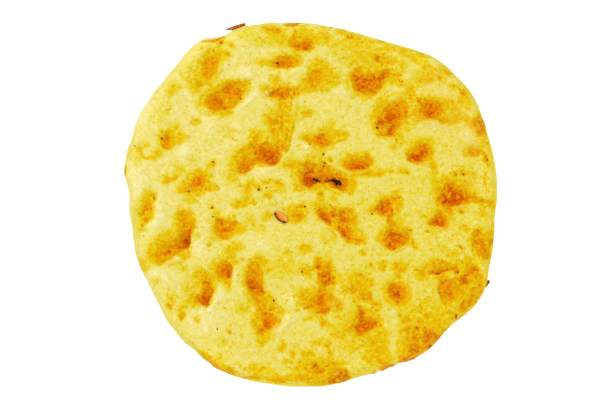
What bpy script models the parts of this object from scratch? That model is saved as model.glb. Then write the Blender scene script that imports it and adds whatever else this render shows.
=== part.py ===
# A round leavened flatbread, about 200 mm across, pressed all over with the fingertips
# before it was baked on a hot flat floor. One piece of bread: everything is one solid.
# Metres, +Z up. The bread lies on its flat underside, with the origin under its middle.

import bmesh
import bpy
from math import atan2, ceil, cos, degrees, exp, hypot, pi, radians, sin, sqrt
from mathutils import Vector, noise

MM = 0.001

# Driving sizes of the loaf.
RADIUS = 100 * MM
HEIGHT = 16 * MM
RIM_HEIGHT = 5 * MM
SHOULDER = 18 * MM
SHOULDER_POWER = 2.4
FOOT_INSET = 7 * MM

# The hand-shaped outline is a circle with swells and flats: bearing in degrees from +X,
# half width in degrees, and how far it stands out.
SWELLS = (
    (36, 17, 4.2 * MM),
    (73, 17, -6.0 * MM),
    (95, 12, -1.8 * MM),
    (143, 26, 4.0 * MM),
    (188, 16, -3.6 * MM),
    (210, 9, -2.4 * MM),
    (240, 12, 1.6 * MM),
    (278, 20, -3.0 * MM),
    (292, 9, -1.2 * MM),
    (316, 8, -1.0 * MM),
    (331, 9, 3.6 * MM),
    (357, 9, -1.1 * MM),
)
RIM_UNEVEN = ((14 * MM, 0.7 * MM), (6 * MM, 0.35 * MM))

# Where the dough slumped on the floor its foot spread out under the rim: bearing, half width
# in degrees, and the share of the inset that is filled.
FOOT_SPREADS = ((240, 12, 0.8), (299, 13, 0.8), (125, 8, 0.5))

# The top heaves gently where the dough rose unevenly: width and height of each kind of heave.
HEAVES = ((48 * MM, 1.6 * MM), (20 * MM, 1.3 * MM), (9 * MM, 0.7 * MM), (4.5 * MM, 0.25 * MM))
RIM_ROLL = 0.7 * MM
RIM_ROLL_SHARE = 0.84
RIM_ROLL_WIDTH = 0.10

# A fingertip leaves a hollow a little wider than its dark bottom, with a low lip round it.
# A point where hollows cross is a little deeper than the deepest of them.
SPREAD = 1.32
LIP = 0.07
CROSSING = 3.0
LEAST_THICKNESS = 3.5 * MM
WOBBLES = ((9 * MM, 1.7 * MM), (4 * MM, 0.8 * MM))

# Fingertip presses in millimetres: place x and y, length, width, turn of the length from +X,
# depth, bearing of the steep side, and how far the bottom is pushed towards it.
UPPER_LEFT = (
    (-54, 73, 24, 10, 60, 3.8, -30, 0.5),
    (-55, 70, 12, 7, 60, 1.9, -30, 0.5),
    (-46, 57, 34, 16, 20, 4.8, -60, 0.5),
    (-51, 53, 13, 9, 20, 6.5, -60, 0.4),
    (-40, 59, 12, 7, 50, 5.8, -45, 0.4),
    (-77, 33, 15, 10, 20, 3.6, -60, 0.4),
    (-68, 35, 9, 5, 20, 1.7, -90, 0.2),
    (-88, 28, 10, 9, 0, 1.2, -60, 0.4),
    (-36, 19, 9, 8, 0, 5.5, -60, 0.4),
    (-23, 25, 13, 11, 30, 7.4, -60, 0.5),
    (-29, 22, 26, 13, 20, 4.3, -60, 0.4),
    (-16, 43, 34, 15, 82, 3.4, 0, 0.4),
)
UPPER_MIDDLE = (
    (-14, 75, 16, 8, 0, 4.8, -90, 0.5),
    (-26, 76, 8, 4, 0, 1.4, -90, 0.3),
    (-4, 85, 13, 8, 0, 3.8, -90, 0.4),
    (-15, 59, 17, 8, 0, 3.6, -90, 0.4),
    (5, 68, 11, 17, 0, 2.3, -90, 0.3),
    (31, 66, 22, 15, 10, 4.1, -100, 0.5),
    (28, 62, 12, 7, 0, 4.8, -100, 0.5),
    (6, 34, 20, 9, 5, 4.6, -90, 0.5),
    (5, 38, 26, 11, 5, 2.2, -90, 0.3),
    (25, 21, 18, 10, 0, 5.3, -90, 0.6),
)
UPPER_RIGHT = (
    (44, 47, 23, 15, 32, 7.2, -50, 0.4),
    (42, 39, 6, 7, 0, 4.3, -60, 0.3),
    (63, 49, 12, 11, 0, 6.0, -70, 0.4),
    (72, 44, 15, 5, -10, 2.9, -90, 0.3),
    (56, 56, 11, 6, 140, 2.2, -90, 0.2),
    (58, 26, 17, 13, 0, 6.0, -90, 0.6),
    (87, 27, 9, 6, 0, 2.4, -60, 0.3),
    (77, 4, 17, 13, 15, 6.5, -60, 0.4),
    (88, 2, 15, 5, -10, 2.4, -90, 0.3),
    (69, -9, 13, 11, 45, 5.5, -60, 0.6),
    (41, -2, 11, 12, 0, 5.5, -60, 0.5),
)
LOWER_LEFT = (
    (-60, 12, 11, 9, 30, 4.3, -60, 0.4),
    (-66, 8, 8, 6, 0, 2.4, -60, 0.3),
    (-77, 13, 6, 5, 0, 1.7, -60, 0.3),
    (-88, -4, 11, 18, 0, 2.6, -60, 0.3),
    (-67, -14, 10, 25, 0, 5.3, 0, 0.45),
    (-67, -20, 8, 10, 0, 7.7, -20, 0.4),
    (-63, -9, 11, 7, 40, 3.6, 0, 0.3),
    (-77, -27, 20, 10, 20, 3.8, -60, 0.4),
    (-46, -14, 13, 12, 20, 3.8, -60, 0.4),
    (-37, -13, 9, 5, 0, 1.7, -60, 0.2),
    (-46, -37, 9, 11, 0, 4.8, 0, 0.5),
    (-44, -44, 5, 6, 0, 2.6, 0, 0.3),
    (-60, -47, 13, 18, 10, 3.8, 0, 0.6),
    (-57, -52, 6, 8, 0, 6.0, 0, 0.4),
    (-30, -42, 9, 21, 0, 4.1, 0, 0.4),
    (-26, -53, 7, 12, 20, 2.9, -60, 0.3),
    (-22, -62, 14, 11, -30, 6.2, -60, 0.4),
    (-30, -67, 8, 4, 20, 1.9, -90, 0.2),
)
MIDDLE = (
    (8, 14, 33, 12, -15, 4.6, -90, 0.4),
    (-2, 13, 8, 8, 0, 6.5, -60, 0.4),
    (13, 11, 13, 6, -5, 6.5, -90, 0.4),
    (-7, -5, 10, 8, 0, 1.6, -60, 0.3),
    (17, -11, 23, 14, -40, 4.3, -120, 0.5),
    (8, -8, 10, 5, -45, 5.5, -130, 0.3),
    (18, -16, 10, 4, -48, 5.5, -130, 0.3),
    (25, -17, 9, 8, 0, 3.1, -60, 0.3),
    (42, -10, 6, 9, 0, 2.6, -60, 0.2),
    (44, -19, 17, 14, 10, 5.8, -60, 0.4),
    (57, -22, 9, 5, -30, 1.9, -60, 0.2),
    (35, -17, 8, 4, 10, 1.7, -60, 0.2),
)
LOWER_RIGHT = (
    (6, -38, 10, 17, -15, 4.8, -30, 0.4),
    (3, -53, 15, 11, 20, 5.5, -30, 0.5),
    (26, -43, 9, 8, 0, 1.6, -60, 0.2),
    (30, -63, 17, 19, 0, 3.4, -60, 0.3),
    (29, -66, 13, 7, 15, 5.8, -60, 0.4),
    (45, -48, 15, 15, 0, 5.0, -60, 0.4),
    (35, -78, 9, 6, 0, 1.4, -60, 0.2),
    (17, -90, 9, 6, 0, 1.2, -60, 0.2),
    (91, -22, 7, 16, 0, 1.4, -60, 0.2),
    (79, -46, 20, 20, 0, 2.2, 180, 0.75),
    (73, -47, 7, 12, 0, 2.9, 180, 0.4),
    (70, -37, 11, 3, 20, 1.7, -70, 0.5),
)
PRESSES = UPPER_LEFT + UPPER_MIDDLE + UPPER_RIGHT + LOWER_LEFT + MIDDLE + LOWER_RIGHT

# Hard crust that stands out past the rim: the bearings where it starts and ends, its lowest and
# highest point, how far it reaches and how ragged it is, in millimetres.
CRUST_EDGES = (
    ("foot crust lower left", 232, 249, 0.3, 2.2, 0.9, 0.9),
    ("foot crust lower right", 290, 308, 0.3, 2.2, 1.0, 1.1),
    ("ledge upper left", 117.5, 125.5, 2.2, 4.6, 1.9, 0.5),
    ("lip left", 167.5, 172.5, 3.0, 5.2, 0.8, 0.2),
    ("flake right", 334.6, 336.8, 3.4, 5.0, 1.1, 0.2),
)
CRUST_ROOT = 4 * MM
CRUST_STEP = 1.2
LEAST_CRUST = 0.15 * MM

# A curled splinter of crust at the upper left, from its root to its tip, in millimetres.
SPLINTER = ((-34.4, 94.6, 6.6), (-38, 94, 6.7), (-41.6, 93.2, 6.7), (-45.8, 92.8, 6.6))
SPLINTER_WIDTH = 2.2 * MM
SPLINTER_THICKNESS = 1.7 * MM
SPLINTER_TAPER = 0.85

# Scraps that lie on the top: place x and y, length, width, height, turn from +X, and tilt.
LUMPS = (
    ("husk flake", -16, -7.8, 8.4, 4.2, 1.7, -38, 10),
    ("char right", 13, 11.4, 6.8, 3.0, 1.8, -14, 0),
    ("char left", 2.6, 12.5, 4.2, 1.8, 1.5, -8, 0),
)

# Mesh of the loaf: spacing of its rings, number of spokes, and the share of faces kept.
RING_STEP = 1.4 * MM
SPOKES = 360
SECTION_POINTS = 400
FACES_KEPT = 0.091

# Finish: pale yellow crumb crust.
CRUST_COLOUR = (0.83, 0.62, 0.10, 1.0)
CRUST_ROUGHNESS = 0.62


def hump(distance):
    """One at the middle, falling smoothly to nothing at distance one."""
    if distance >= 1:
        return 0.0
    return (1 - distance * distance) ** 2


def bell(distance):
    return exp(-distance * distance)


def bearing_gap(bearing, other):
    return abs((bearing - other + 180) % 360 - 180)


def outline(bearing):
    """Distance from the middle to the rim on this bearing, in degrees."""
    reach = RADIUS
    for swell_bearing, half_width, height in SWELLS:
        reach += height * bell(bearing_gap(bearing, swell_bearing) / half_width)
    return reach


def foot_inset(bearing):
    """How far the edge of the flat base stays inside the rim on this bearing."""
    filled = 0.0
    for spread_bearing, half_width, share in FOOT_SPREADS:
        filled += share * bell(bearing_gap(bearing, spread_bearing) / half_width)
    return FOOT_INSET * (1 - min(0.9, filled))


def crown(share):
    """Height of the unpressed top at a share of the way from the middle to the rim."""
    roll = RIM_ROLL * bell((share - RIM_ROLL_SHARE) / RIM_ROLL_WIDTH)
    into_shoulder = max(0.0, share * RADIUS - (RADIUS - SHOULDER)) / SHOULDER
    fall = max(0.0, 1 - into_shoulder ** SHOULDER_POWER) ** (1 / SHOULDER_POWER)
    return RIM_HEIGHT + (HEIGHT - RIM_HEIGHT) * fall + roll * fall


def wobbled(x, y):
    """The point moved a little, so that the edges of hollows wander."""
    for width, reach in WOBBLES:
        x += reach * noise.noise(Vector((x / width, y / width, 3.1)))
        y += reach * noise.noise(Vector((x / width, y / width, 8.7)))
    return x, y


def press_depth(press, x, y):
    """Depth of one press at a point. Its level lines close in on the steep side."""
    centre_x, centre_y, length, width, turn, depth, steep, push = press
    half_length = length * MM * SPREAD / 2
    half_width = width * MM * SPREAD / 2
    away_x = x - centre_x * MM
    away_y = y - centre_y * MM
    if hypot(away_x, away_y) > 1.4 * max(half_length, half_width):
        return 0.0
    turned = radians(turn)
    along = (away_x * cos(turned) + away_y * sin(turned)) / half_length
    across = (away_y * cos(turned) - away_x * sin(turned)) / half_width
    bottom = push * Vector((cos(radians(steep - turn)), sin(radians(steep - turn))))
    out = Vector((along, across)) - bottom
    gap = out.length
    if gap < 1e-6:
        return depth * MM
    aim = out / gap
    reach = -bottom.dot(aim) + sqrt(bottom.dot(aim) ** 2 + 1 - bottom.length_squared)
    level = gap / reach
    return depth * MM * (hump(level) - LIP * bell((level - 1.1) / 0.16))


def hollow(x, y):
    """How far the fingers pressed the top down at a point."""
    x, y = wobbled(x, y)
    total = 0.0
    lips = 0.0
    for press in PRESSES:
        depth = press_depth(press, x, y)
        if depth > 0:
            total += (depth / MM) ** CROSSING
        else:
            lips = min(lips, depth)
    pressed = MM * total ** (1 / CROSSING)
    return pressed if pressed > 0.3 * MM else pressed + lips


def heave(x, y):
    height = 0.0
    for number, (width, reach) in enumerate(HEAVES):
        height += reach * noise.noise(Vector((x / width, y / width, 1.7 + number)))
    return height


def relief(x, y):
    return heave(x, y) - hollow(x, y)


def top(x, y):
    """Height of the finished top at a point."""
    share = hypot(x, y) / outline(degrees(atan2(y, x)))
    unpressed = crown(min(1.0, share))
    risen = (unpressed - RIM_HEIGHT) / (HEIGHT - RIM_HEIGHT)
    return unpressed + min(1.0, risen) * relief(x, y)


def section():
    """Half of the loaf's cross-section, from the middle of the top to the middle of the base."""
    points = []
    for number in range(SECTION_POINTS + 1):
        share = sin(pi / 2 * number / SECTION_POINTS)
        points.append(Vector((RADIUS * share, 0, crown(share))))
    for number in range(1, SECTION_POINTS + 1):
        turned = pi / 2 * number / SECTION_POINTS
        inset = FOOT_INSET * (1 - cos(turned))
        points.append(Vector((RADIUS - inset, 0, RIM_HEIGHT * (1 - sin(turned)))))
    points.append(Vector((0, 0, 0)))
    return points


def evenly(points, step):
    """The same line with its points a step apart and both ends kept."""
    run = [0.0]
    for before, after in zip(points, points[1:]):
        run.append(run[-1] + (after - before).length)
    count = ceil(run[-1] / step)
    spaced = []
    place = 0
    for number in range(count + 1):
        wanted = run[-1] * number / count
        while place < len(points) - 2 and run[place + 1] < wanted:
            place += 1
        share = (wanted - run[place]) / (run[place + 1] - run[place])
        spaced.append(points[place].lerp(points[place + 1], min(1.0, share)))
    return spaced


def new_object(name, bm):
    mesh = bpy.data.meshes.new(name)
    bm.to_mesh(mesh)
    bm.free()
    made = bpy.data.objects.new(name, mesh)
    bpy.context.scene.collection.objects.link(made)
    return made


def apply_modifier(made, modifier):
    bpy.context.view_layer.objects.active = made
    made.select_set(True)
    bpy.ops.object.modifier_apply(modifier=modifier.name)
    made.select_set(False)


def shape_vertex(vertex):
    """Moves a point of the turned loaf out to the outline, and its top by the relief."""
    x, y, z = vertex.co
    bearing = degrees(atan2(y, x))
    share = hypot(x, y) / RADIUS
    if z < RIM_HEIGHT:
        plain_foot = 1 - FOOT_INSET / RADIUS
        foot = 1 - foot_inset(bearing) / RADIUS
        past_foot = max(0.0, share - plain_foot) / (1 - plain_foot)
        new_share = min(share, plain_foot) * foot / plain_foot + past_foot * (1 - foot)
    else:
        new_share = share
    stretch = new_share / share if share > 0 else 1.0
    stretch *= outline(bearing) / RADIUS
    for number, (width, reach) in enumerate(RIM_UNEVEN):
        uneven = noise.noise(Vector((x / width, y / width, z / width + 5 + number)))
        stretch += share ** 4 * uneven * reach / RADIUS
    x *= stretch
    y *= stretch
    if z > RIM_HEIGHT:
        risen = min(1.0, (z - RIM_HEIGHT) / (HEIGHT - RIM_HEIGHT))
        z = max(z + risen * relief(x, y), min(z, LEAST_THICKNESS))
    vertex.co = (x, y, z)


def make_loaf():
    """The loaf is its cross-section spun round, then pushed into shape point by point."""
    bm = bmesh.new()
    line = [bm.verts.new(point) for point in evenly(section(), RING_STEP)]
    edges = [bm.edges.new(pair) for pair in zip(line, line[1:])]
    bmesh.ops.spin(
        bm, geom=line + edges, axis=(0, 0, 1), cent=(0, 0, 0),
        angle=2 * pi, steps=SPOKES, use_merge=True,
    )
    bmesh.ops.remove_doubles(bm, verts=bm.verts, dist=0.01 * MM)
    bmesh.ops.triangulate(bm, faces=bm.faces)
    bmesh.ops.recalc_face_normals(bm, faces=bm.faces)
    for vertex in bm.verts:
        shape_vertex(vertex)
    loaf = new_object("flatbread", bm)
    thin = loaf.modifiers.new("fewer faces", "DECIMATE")
    thin.ratio = FACES_KEPT
    apply_modifier(loaf, thin)
    return loaf


def skin(name, loops):
    """A closed solid through a row of loops that have the same number of points."""
    bm = bmesh.new()
    rows = [[bm.verts.new(point) for point in loop] for loop in loops]
    count = len(rows[0])
    for row, after in zip(rows, rows[1:]):
        for number in range(count):
            beside = (number + 1) % count
            bm.faces.new((row[number], row[beside], after[beside], after[number]))
    bm.faces.new(rows[0])
    bm.faces.new(rows[-1])
    bmesh.ops.recalc_face_normals(bm, faces=bm.faces)
    return new_object(name, bm)


def crust_edge(name, start, end, low, high, reach, ragged):
    """A strip of hard crust that stands out past the rim between two bearings."""
    steps = max(4, round((end - start) / CRUST_STEP))
    loops = []
    for number in range(steps + 1):
        share = number / steps
        bearing = start + (end - start) * share
        out = Vector((cos(radians(bearing)), sin(radians(bearing)), 0))
        tooth = ragged * noise.noise(Vector((bearing * 0.9, low, 2.3)))
        stand_out = reach * sin(pi * min(1.0, max(0.0, 0.06 + 0.88 * share))) ** 0.6 + tooth
        root = outline(bearing) - CRUST_ROOT
        tip = outline(bearing) + max(LEAST_CRUST, stand_out * MM)
        middle = (low + high) / 2
        thin = (high - low) / 4
        loops.append((
            out * root + Vector((0, 0, low * MM)),
            out * tip + Vector((0, 0, (middle - thin) * MM)),
            out * tip + Vector((0, 0, (middle + thin) * MM)),
            out * root + Vector((0, 0, high * MM)),
        ))
    return skin(name, loops)


def splinter(name, points):
    """A curled splinter of crust, widest at its root and drawn out to a tip."""
    loops = []
    last = len(points) - 1
    for number, point in enumerate(points):
        before = points[max(0, number - 1)]
        after = points[min(last, number + 1)]
        forward = (after - before).normalized()
        side = Vector((-forward.y, forward.x, 0)).normalized()
        share = 1 - SPLINTER_TAPER * number / last
        half = side * SPLINTER_WIDTH * share / 2
        rise = Vector((0, 0, SPLINTER_THICKNESS * share / 2))
        loops.append((point - half, point - rise, point + half, point + rise))
    return skin(name, loops)


def lump(name, x, y, length, width, height, turn, tilt):
    """A scrap of crust that lies in the top: a flattened ball with an uneven rim."""
    bm = bmesh.new()
    bmesh.ops.create_icosphere(bm, subdivisions=2, radius=0.5)
    turned = radians(turn)
    ground = top(x * MM, y * MM)
    for vertex in bm.verts:
        rough = 1 + 0.25 * noise.noise(vertex.co * 4 + Vector((x, y, 0)))
        along = vertex.co.x * length * MM * rough
        across = vertex.co.y * width * MM * rough
        up = vertex.co.z * height * MM + across * sin(radians(tilt))
        vertex.co = (
            x * MM + along * cos(turned) - across * sin(turned),
            y * MM + along * sin(turned) + across * cos(turned),
            ground + up,
        )
    return new_object(name, bm)


def make_scraps():
    """Hard crust that stands out of the loaf: at its rim, at its foot and lying on top."""
    scraps = [crust_edge(*row) for row in CRUST_EDGES]
    scraps.append(splinter("splinter upper left", [Vector(point) * MM for point in SPLINTER]))
    scraps.extend(lump(*row) for row in LUMPS)
    return scraps


def join_scraps(loaf, scraps):
    """Fuses the scraps to the loaf, then takes their own solids away."""
    fused = bpy.data.collections.new("scraps")
    bpy.context.scene.collection.children.link(fused)
    for scrap in scraps:
        bpy.context.scene.collection.objects.unlink(scrap)
        fused.objects.link(scrap)
    union = loaf.modifiers.new("fuse scraps", "BOOLEAN")
    union.operation = "UNION"
    union.operand_type = "COLLECTION"
    union.collection = fused
    union.solver = "EXACT"
    apply_modifier(loaf, union)
    for scrap in scraps:
        bpy.data.objects.remove(scrap)
    bpy.data.collections.remove(fused)


def centre_on_origin(loaf):
    """Slides the mesh so that the middle of its box's underside is the origin."""
    places = [vertex.co for vertex in loaf.data.vertices]
    middle_x = (min(p.x for p in places) + max(p.x for p in places)) / 2
    middle_y = (min(p.y for p in places) + max(p.y for p in places)) / 2
    lowest = min(p.z for p in places)
    for vertex in loaf.data.vertices:
        vertex.co -= Vector((middle_x, middle_y, lowest))


def crust_material():
    material = bpy.data.materials.new("baked crust")
    material.use_nodes = True
    shader = material.node_tree.nodes["Principled BSDF"]
    shader.inputs["Base Color"].default_value = CRUST_COLOUR
    shader.inputs["Roughness"].default_value = CRUST_ROUGHNESS
    shader.inputs["Metallic"].default_value = 0.0
    return material


for leftover in list(bpy.data.objects):
    bpy.data.objects.remove(leftover)

flatbread = make_loaf()
join_scraps(flatbread, make_scraps())
centre_on_origin(flatbread)
flatbread.data.materials.clear()
flatbread.data.materials.append(crust_material())
flatbread.data.shade_smooth()
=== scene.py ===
import math

import bpy
import numpy as np
from mathutils import Matrix, Vector, noise


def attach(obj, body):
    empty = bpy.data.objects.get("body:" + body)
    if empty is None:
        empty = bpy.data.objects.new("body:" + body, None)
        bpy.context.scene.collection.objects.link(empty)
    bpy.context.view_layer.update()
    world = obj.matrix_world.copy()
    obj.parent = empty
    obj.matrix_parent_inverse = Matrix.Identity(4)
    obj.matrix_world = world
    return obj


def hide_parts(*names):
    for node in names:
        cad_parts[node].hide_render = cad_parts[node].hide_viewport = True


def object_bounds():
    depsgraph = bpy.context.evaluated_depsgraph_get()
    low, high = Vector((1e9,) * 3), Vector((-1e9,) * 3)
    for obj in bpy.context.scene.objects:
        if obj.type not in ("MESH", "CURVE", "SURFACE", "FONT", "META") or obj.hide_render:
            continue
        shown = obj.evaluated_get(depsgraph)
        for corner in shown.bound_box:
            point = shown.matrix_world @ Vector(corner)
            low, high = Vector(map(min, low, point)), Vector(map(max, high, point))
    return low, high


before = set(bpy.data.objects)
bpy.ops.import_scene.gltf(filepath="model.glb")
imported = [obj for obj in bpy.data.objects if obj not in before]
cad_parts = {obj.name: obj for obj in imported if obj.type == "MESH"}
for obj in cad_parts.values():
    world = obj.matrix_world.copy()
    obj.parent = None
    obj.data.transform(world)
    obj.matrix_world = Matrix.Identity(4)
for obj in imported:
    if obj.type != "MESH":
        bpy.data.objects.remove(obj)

cad_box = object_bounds()
MM = 0.001

# The camera, which looks almost straight down, as in the photograph.

PICTURE_WIDTH = 612
SENSOR_WIDTH = 36.0
CAMERA_DISTANCE = 0.8
CAMERA_ELEVATION = math.radians(86)

# The size of one pixel at the height of the bread's rim, and where the camera aims, counted in
# pixels from the bread's middle.
RIM_HEIGHT = 8.5 * MM
PIXEL = 0.530 * MM
AIM_PIXELS = (-4.0, -1.0)

aim = Vector((AIM_PIXELS[0] * PIXEL, AIM_PIXELS[1] * PIXEL, RIM_HEIGHT))
away = Vector((0, -math.cos(CAMERA_ELEVATION), math.sin(CAMERA_ELEVATION)))
picture_up = away.cross(Vector((1, 0, 0)))
camera_data = bpy.data.cameras.new("camera")
camera_data.sensor_width = SENSOR_WIDTH
camera_data.lens = SENSOR_WIDTH * CAMERA_DISTANCE / (PICTURE_WIDTH * PIXEL)
camera = bpy.data.objects.new("camera", camera_data)
camera.location = aim + CAMERA_DISTANCE * away
camera.rotation_euler = away.to_track_quat("Z", "Y").to_euler()
bpy.context.scene.collection.objects.link(camera)
bpy.context.scene.camera = camera

# The loaf.
# Soft leavened wheat dough, patted round by hand, pressed all over with the fingertips and baked
# on a hot floor until its raised parts were cream and its hollows golden to brown.

MERGE_DISTANCE = 0.002 * MM
LOAF_VOXEL = 0.8 * MM
LOAF_SOFTENING = 0.5
SOFTENING_ROUNDS = 4

# The flat underside lies below this height. It alone is thinned, until this share of the loaf's
# faces is left.
UNDERSIDE_HEIGHT = 0.25 * MM
FACES_KEPT = 0.55

# The places of the browning, with the shade painted in it, were read off the photograph in
# millimetres, at this scale for each pixel. The middle of the picture lies this many pixels from
# the middle that they count from.
READ_PIXEL = 0.5353
READ_MIDDLE = (-5.5, -0.5)

# Browned places, read off the bread in millimetres: place x and y, length, width, turn of the
# length from +X, and how browned the place is at its edge, from 0 for cream to 1.2 for char.
# Their tones hold the browning together with the painted shade of the hollows and their steep walls.
UPPER_LEFT = (
    (-63, 70, 14, 9, 70, 0.39), (-79, 48, 12, 5, 60, 0.33), (-54, 73, 21, 11, 72, 0.47),
    (-47, 80, 8, 3.5, 0, 0.5), (-54, 72.5, 13, 7, 70, 0.6), (-60, 63.7, 4, 2.5, 0, 0.6),
    (-54, 71.5, 2, 3, 0, 0.64), (-47, 57, 29, 14, 25, 0.47), (-37, 63, 9, 7, 40, 0.5),
    (-46.5, 56, 20, 11, 22, 0.62), (-44, 61.5, 9, 5, 50, 0.64), (-51, 54, 8, 6.5, 30, 0.73),
    (-43.6, 60.8, 5, 4.2, 75, 0.8), (-38.4, 59.2, 5, 2, 97, 0.82), (-77, 34, 8, 9.5, -20, 0.49),
    (-70, 34.5, 8, 4, 10, 0.46), (-82.5, 26.5, 7, 4, 40, 0.48), (-77.4, 33, 7.5, 4, 90, 0.62),
    (-77, 33.8, 2.5, 2, 0, 0.76), (-91.5, 28, 5, 2.5, 100, 0.46), (-89, 25, 5, 1.8, 0, 0.46),
    (-38, 21.5, 12, 9, 75, 0.47), (-35, 20.5, 8.5, 4, 80, 0.6), (-36, 18, 5, 3.3, 10, 0.62),
    (-35, 18.5, 2.5, 2.5, 0, 0.78), (-31, 26.5, 20, 11, 14, 0.48), (-25, 26, 18.5, 12, 5, 0.62),
    (-30, 30.5, 5, 5, 0, 0.6), (-17.5, 30.5, 5, 4, 60, 0.6), (-22.5, 25, 9.5, 7, 0, 0.77),
    (-27.5, 27, 7.5, 5.5, 90, 0.77), (-19, 27.2, 8, 2.1, 76, 0.73), (-31.5, 22.3, 3.5, 3, 90, 0.76),
    (-21.5, 23.9, 5.5, 4.5, -10, 0.9), (-20.3, 22.3, 2.2, 1.6, 0, 0.96),
    (-17.3, 22.8, 1.5, 1.2, 0, 0.6), (-17.5, 40, 19, 16, 80, 0.47), (-14, 52, 8, 7, 90, 0.47),
    (-20, 43.5, 3, 3, 0, 0.62), (-20, 38, 3.5, 2, 90, 0.6), (-16, 39.5, 4, 1.2, 50, 0.6),
    (-29.5, 34, 3, 2.5, 0, 0.6), (-27, 34.5, 11, 7, -35, 0.48), (-2.5, 48.5, 6, 4, 0, 0.5),
)
UPPER_MIDDLE = (
    (26, 80, 30, 15, -14, 0.42), (-16, 87.5, 14, 8, 0, 0.41), (-24, 61.5, 6, 2.5, 0, 0.5),
    (-3.5, 65, 4, 4, 0, 0.5), (3, 25, 9, 4, 0, 0.45), (-13.5, 29.5, 3, 3, 0, 0.6),
    (-10, 96.1, 6.5, 2.2, 4, 0.66), (-23.5, 93, 3, 1.7, 0, 0.6), (-18.5, 92, 3.5, 2.5, 0, 0.62),
    (-21, 92.3, 10.5, 4, 0, 0.47), (-5, 87, 15, 12, 20, 0.46), (-5, 84.7, 13.5, 5, 0, 0.62),
    (-10, 87, 4, 3, 30, 0.6), (0, 86, 3, 3, 0, 0.6), (-4.5, 84.3, 9.5, 3, 3, 0.77),
    (-3.2, 83.8, 2.3, 2.2, 0, 0.9), (6.5, 88.5, 8, 7, 90, 0.45), (16.5, 91.5, 3.5, 2.5, 0, 0.5),
    (20.8, 88.8, 2.5, 2.2, 0, 0.66), (26, 87.5, 16, 3, -10, 0.43), (-13.3, 76.4, 17, 8, 6, 0.47),
    (-25, 75.5, 8, 3, 10, 0.46), (-13.7, 75.6, 14, 5.4, 6, 0.61), (-15.8, 74.4, 6.8, 2.6, -5, 0.79),
    (-14.5, 59.5, 19, 8, 5, 0.48), (-15, 59, 15.5, 5.5, 5, 0.63), (-17, 58.7, 9, 3.5, 8, 0.78),
    (-3, 61.5, 12, 4, 0, 0.5), (5.5, 68, 17, 12, 105, 0.47), (2, 66.5, 9, 6, 75, 0.61),
    (30, 65, 22, 17, 15, 0.47), (31, 64, 14, 12, 0, 0.62), (24.5, 67, 11, 5, 80, 0.62),
    (37, 67.5, 13, 6, 30, 0.62), (28.5, 64, 9, 8, 0, 0.77), (34, 64, 8, 6, 50, 0.77),
    (37.5, 67.7, 8, 3.5, 35, 0.77), (24, 67, 4, 2.5, 85, 0.76), (28, 63.8, 7, 5, 20, 0.89),
    (32.5, 60, 1.5, 1.5, 0, 0.9), (7.5, 36, 25, 8, 3, 0.46), (6, 32, 13, 7.5, 5, 0.46),
    (3.6, 33.9, 14, 5.2, -3, 0.6), (5.4, 33.8, 6, 6, 0, 0.77), (5.5, 33.3, 3.6, 3.6, 30, 0.88),
    (25, 22, 17.5, 10, 3, 0.47), (24.8, 21, 15, 5.8, 3, 0.62), (29.5, 21.5, 7, 4, 90, 0.61),
    (25, 20.3, 10.5, 4.5, 5, 0.77), (24.8, 19.6, 8, 2.4, 0, 0.89), (-10, 20.5, 14, 5, 0, 0.46),
)
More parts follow.
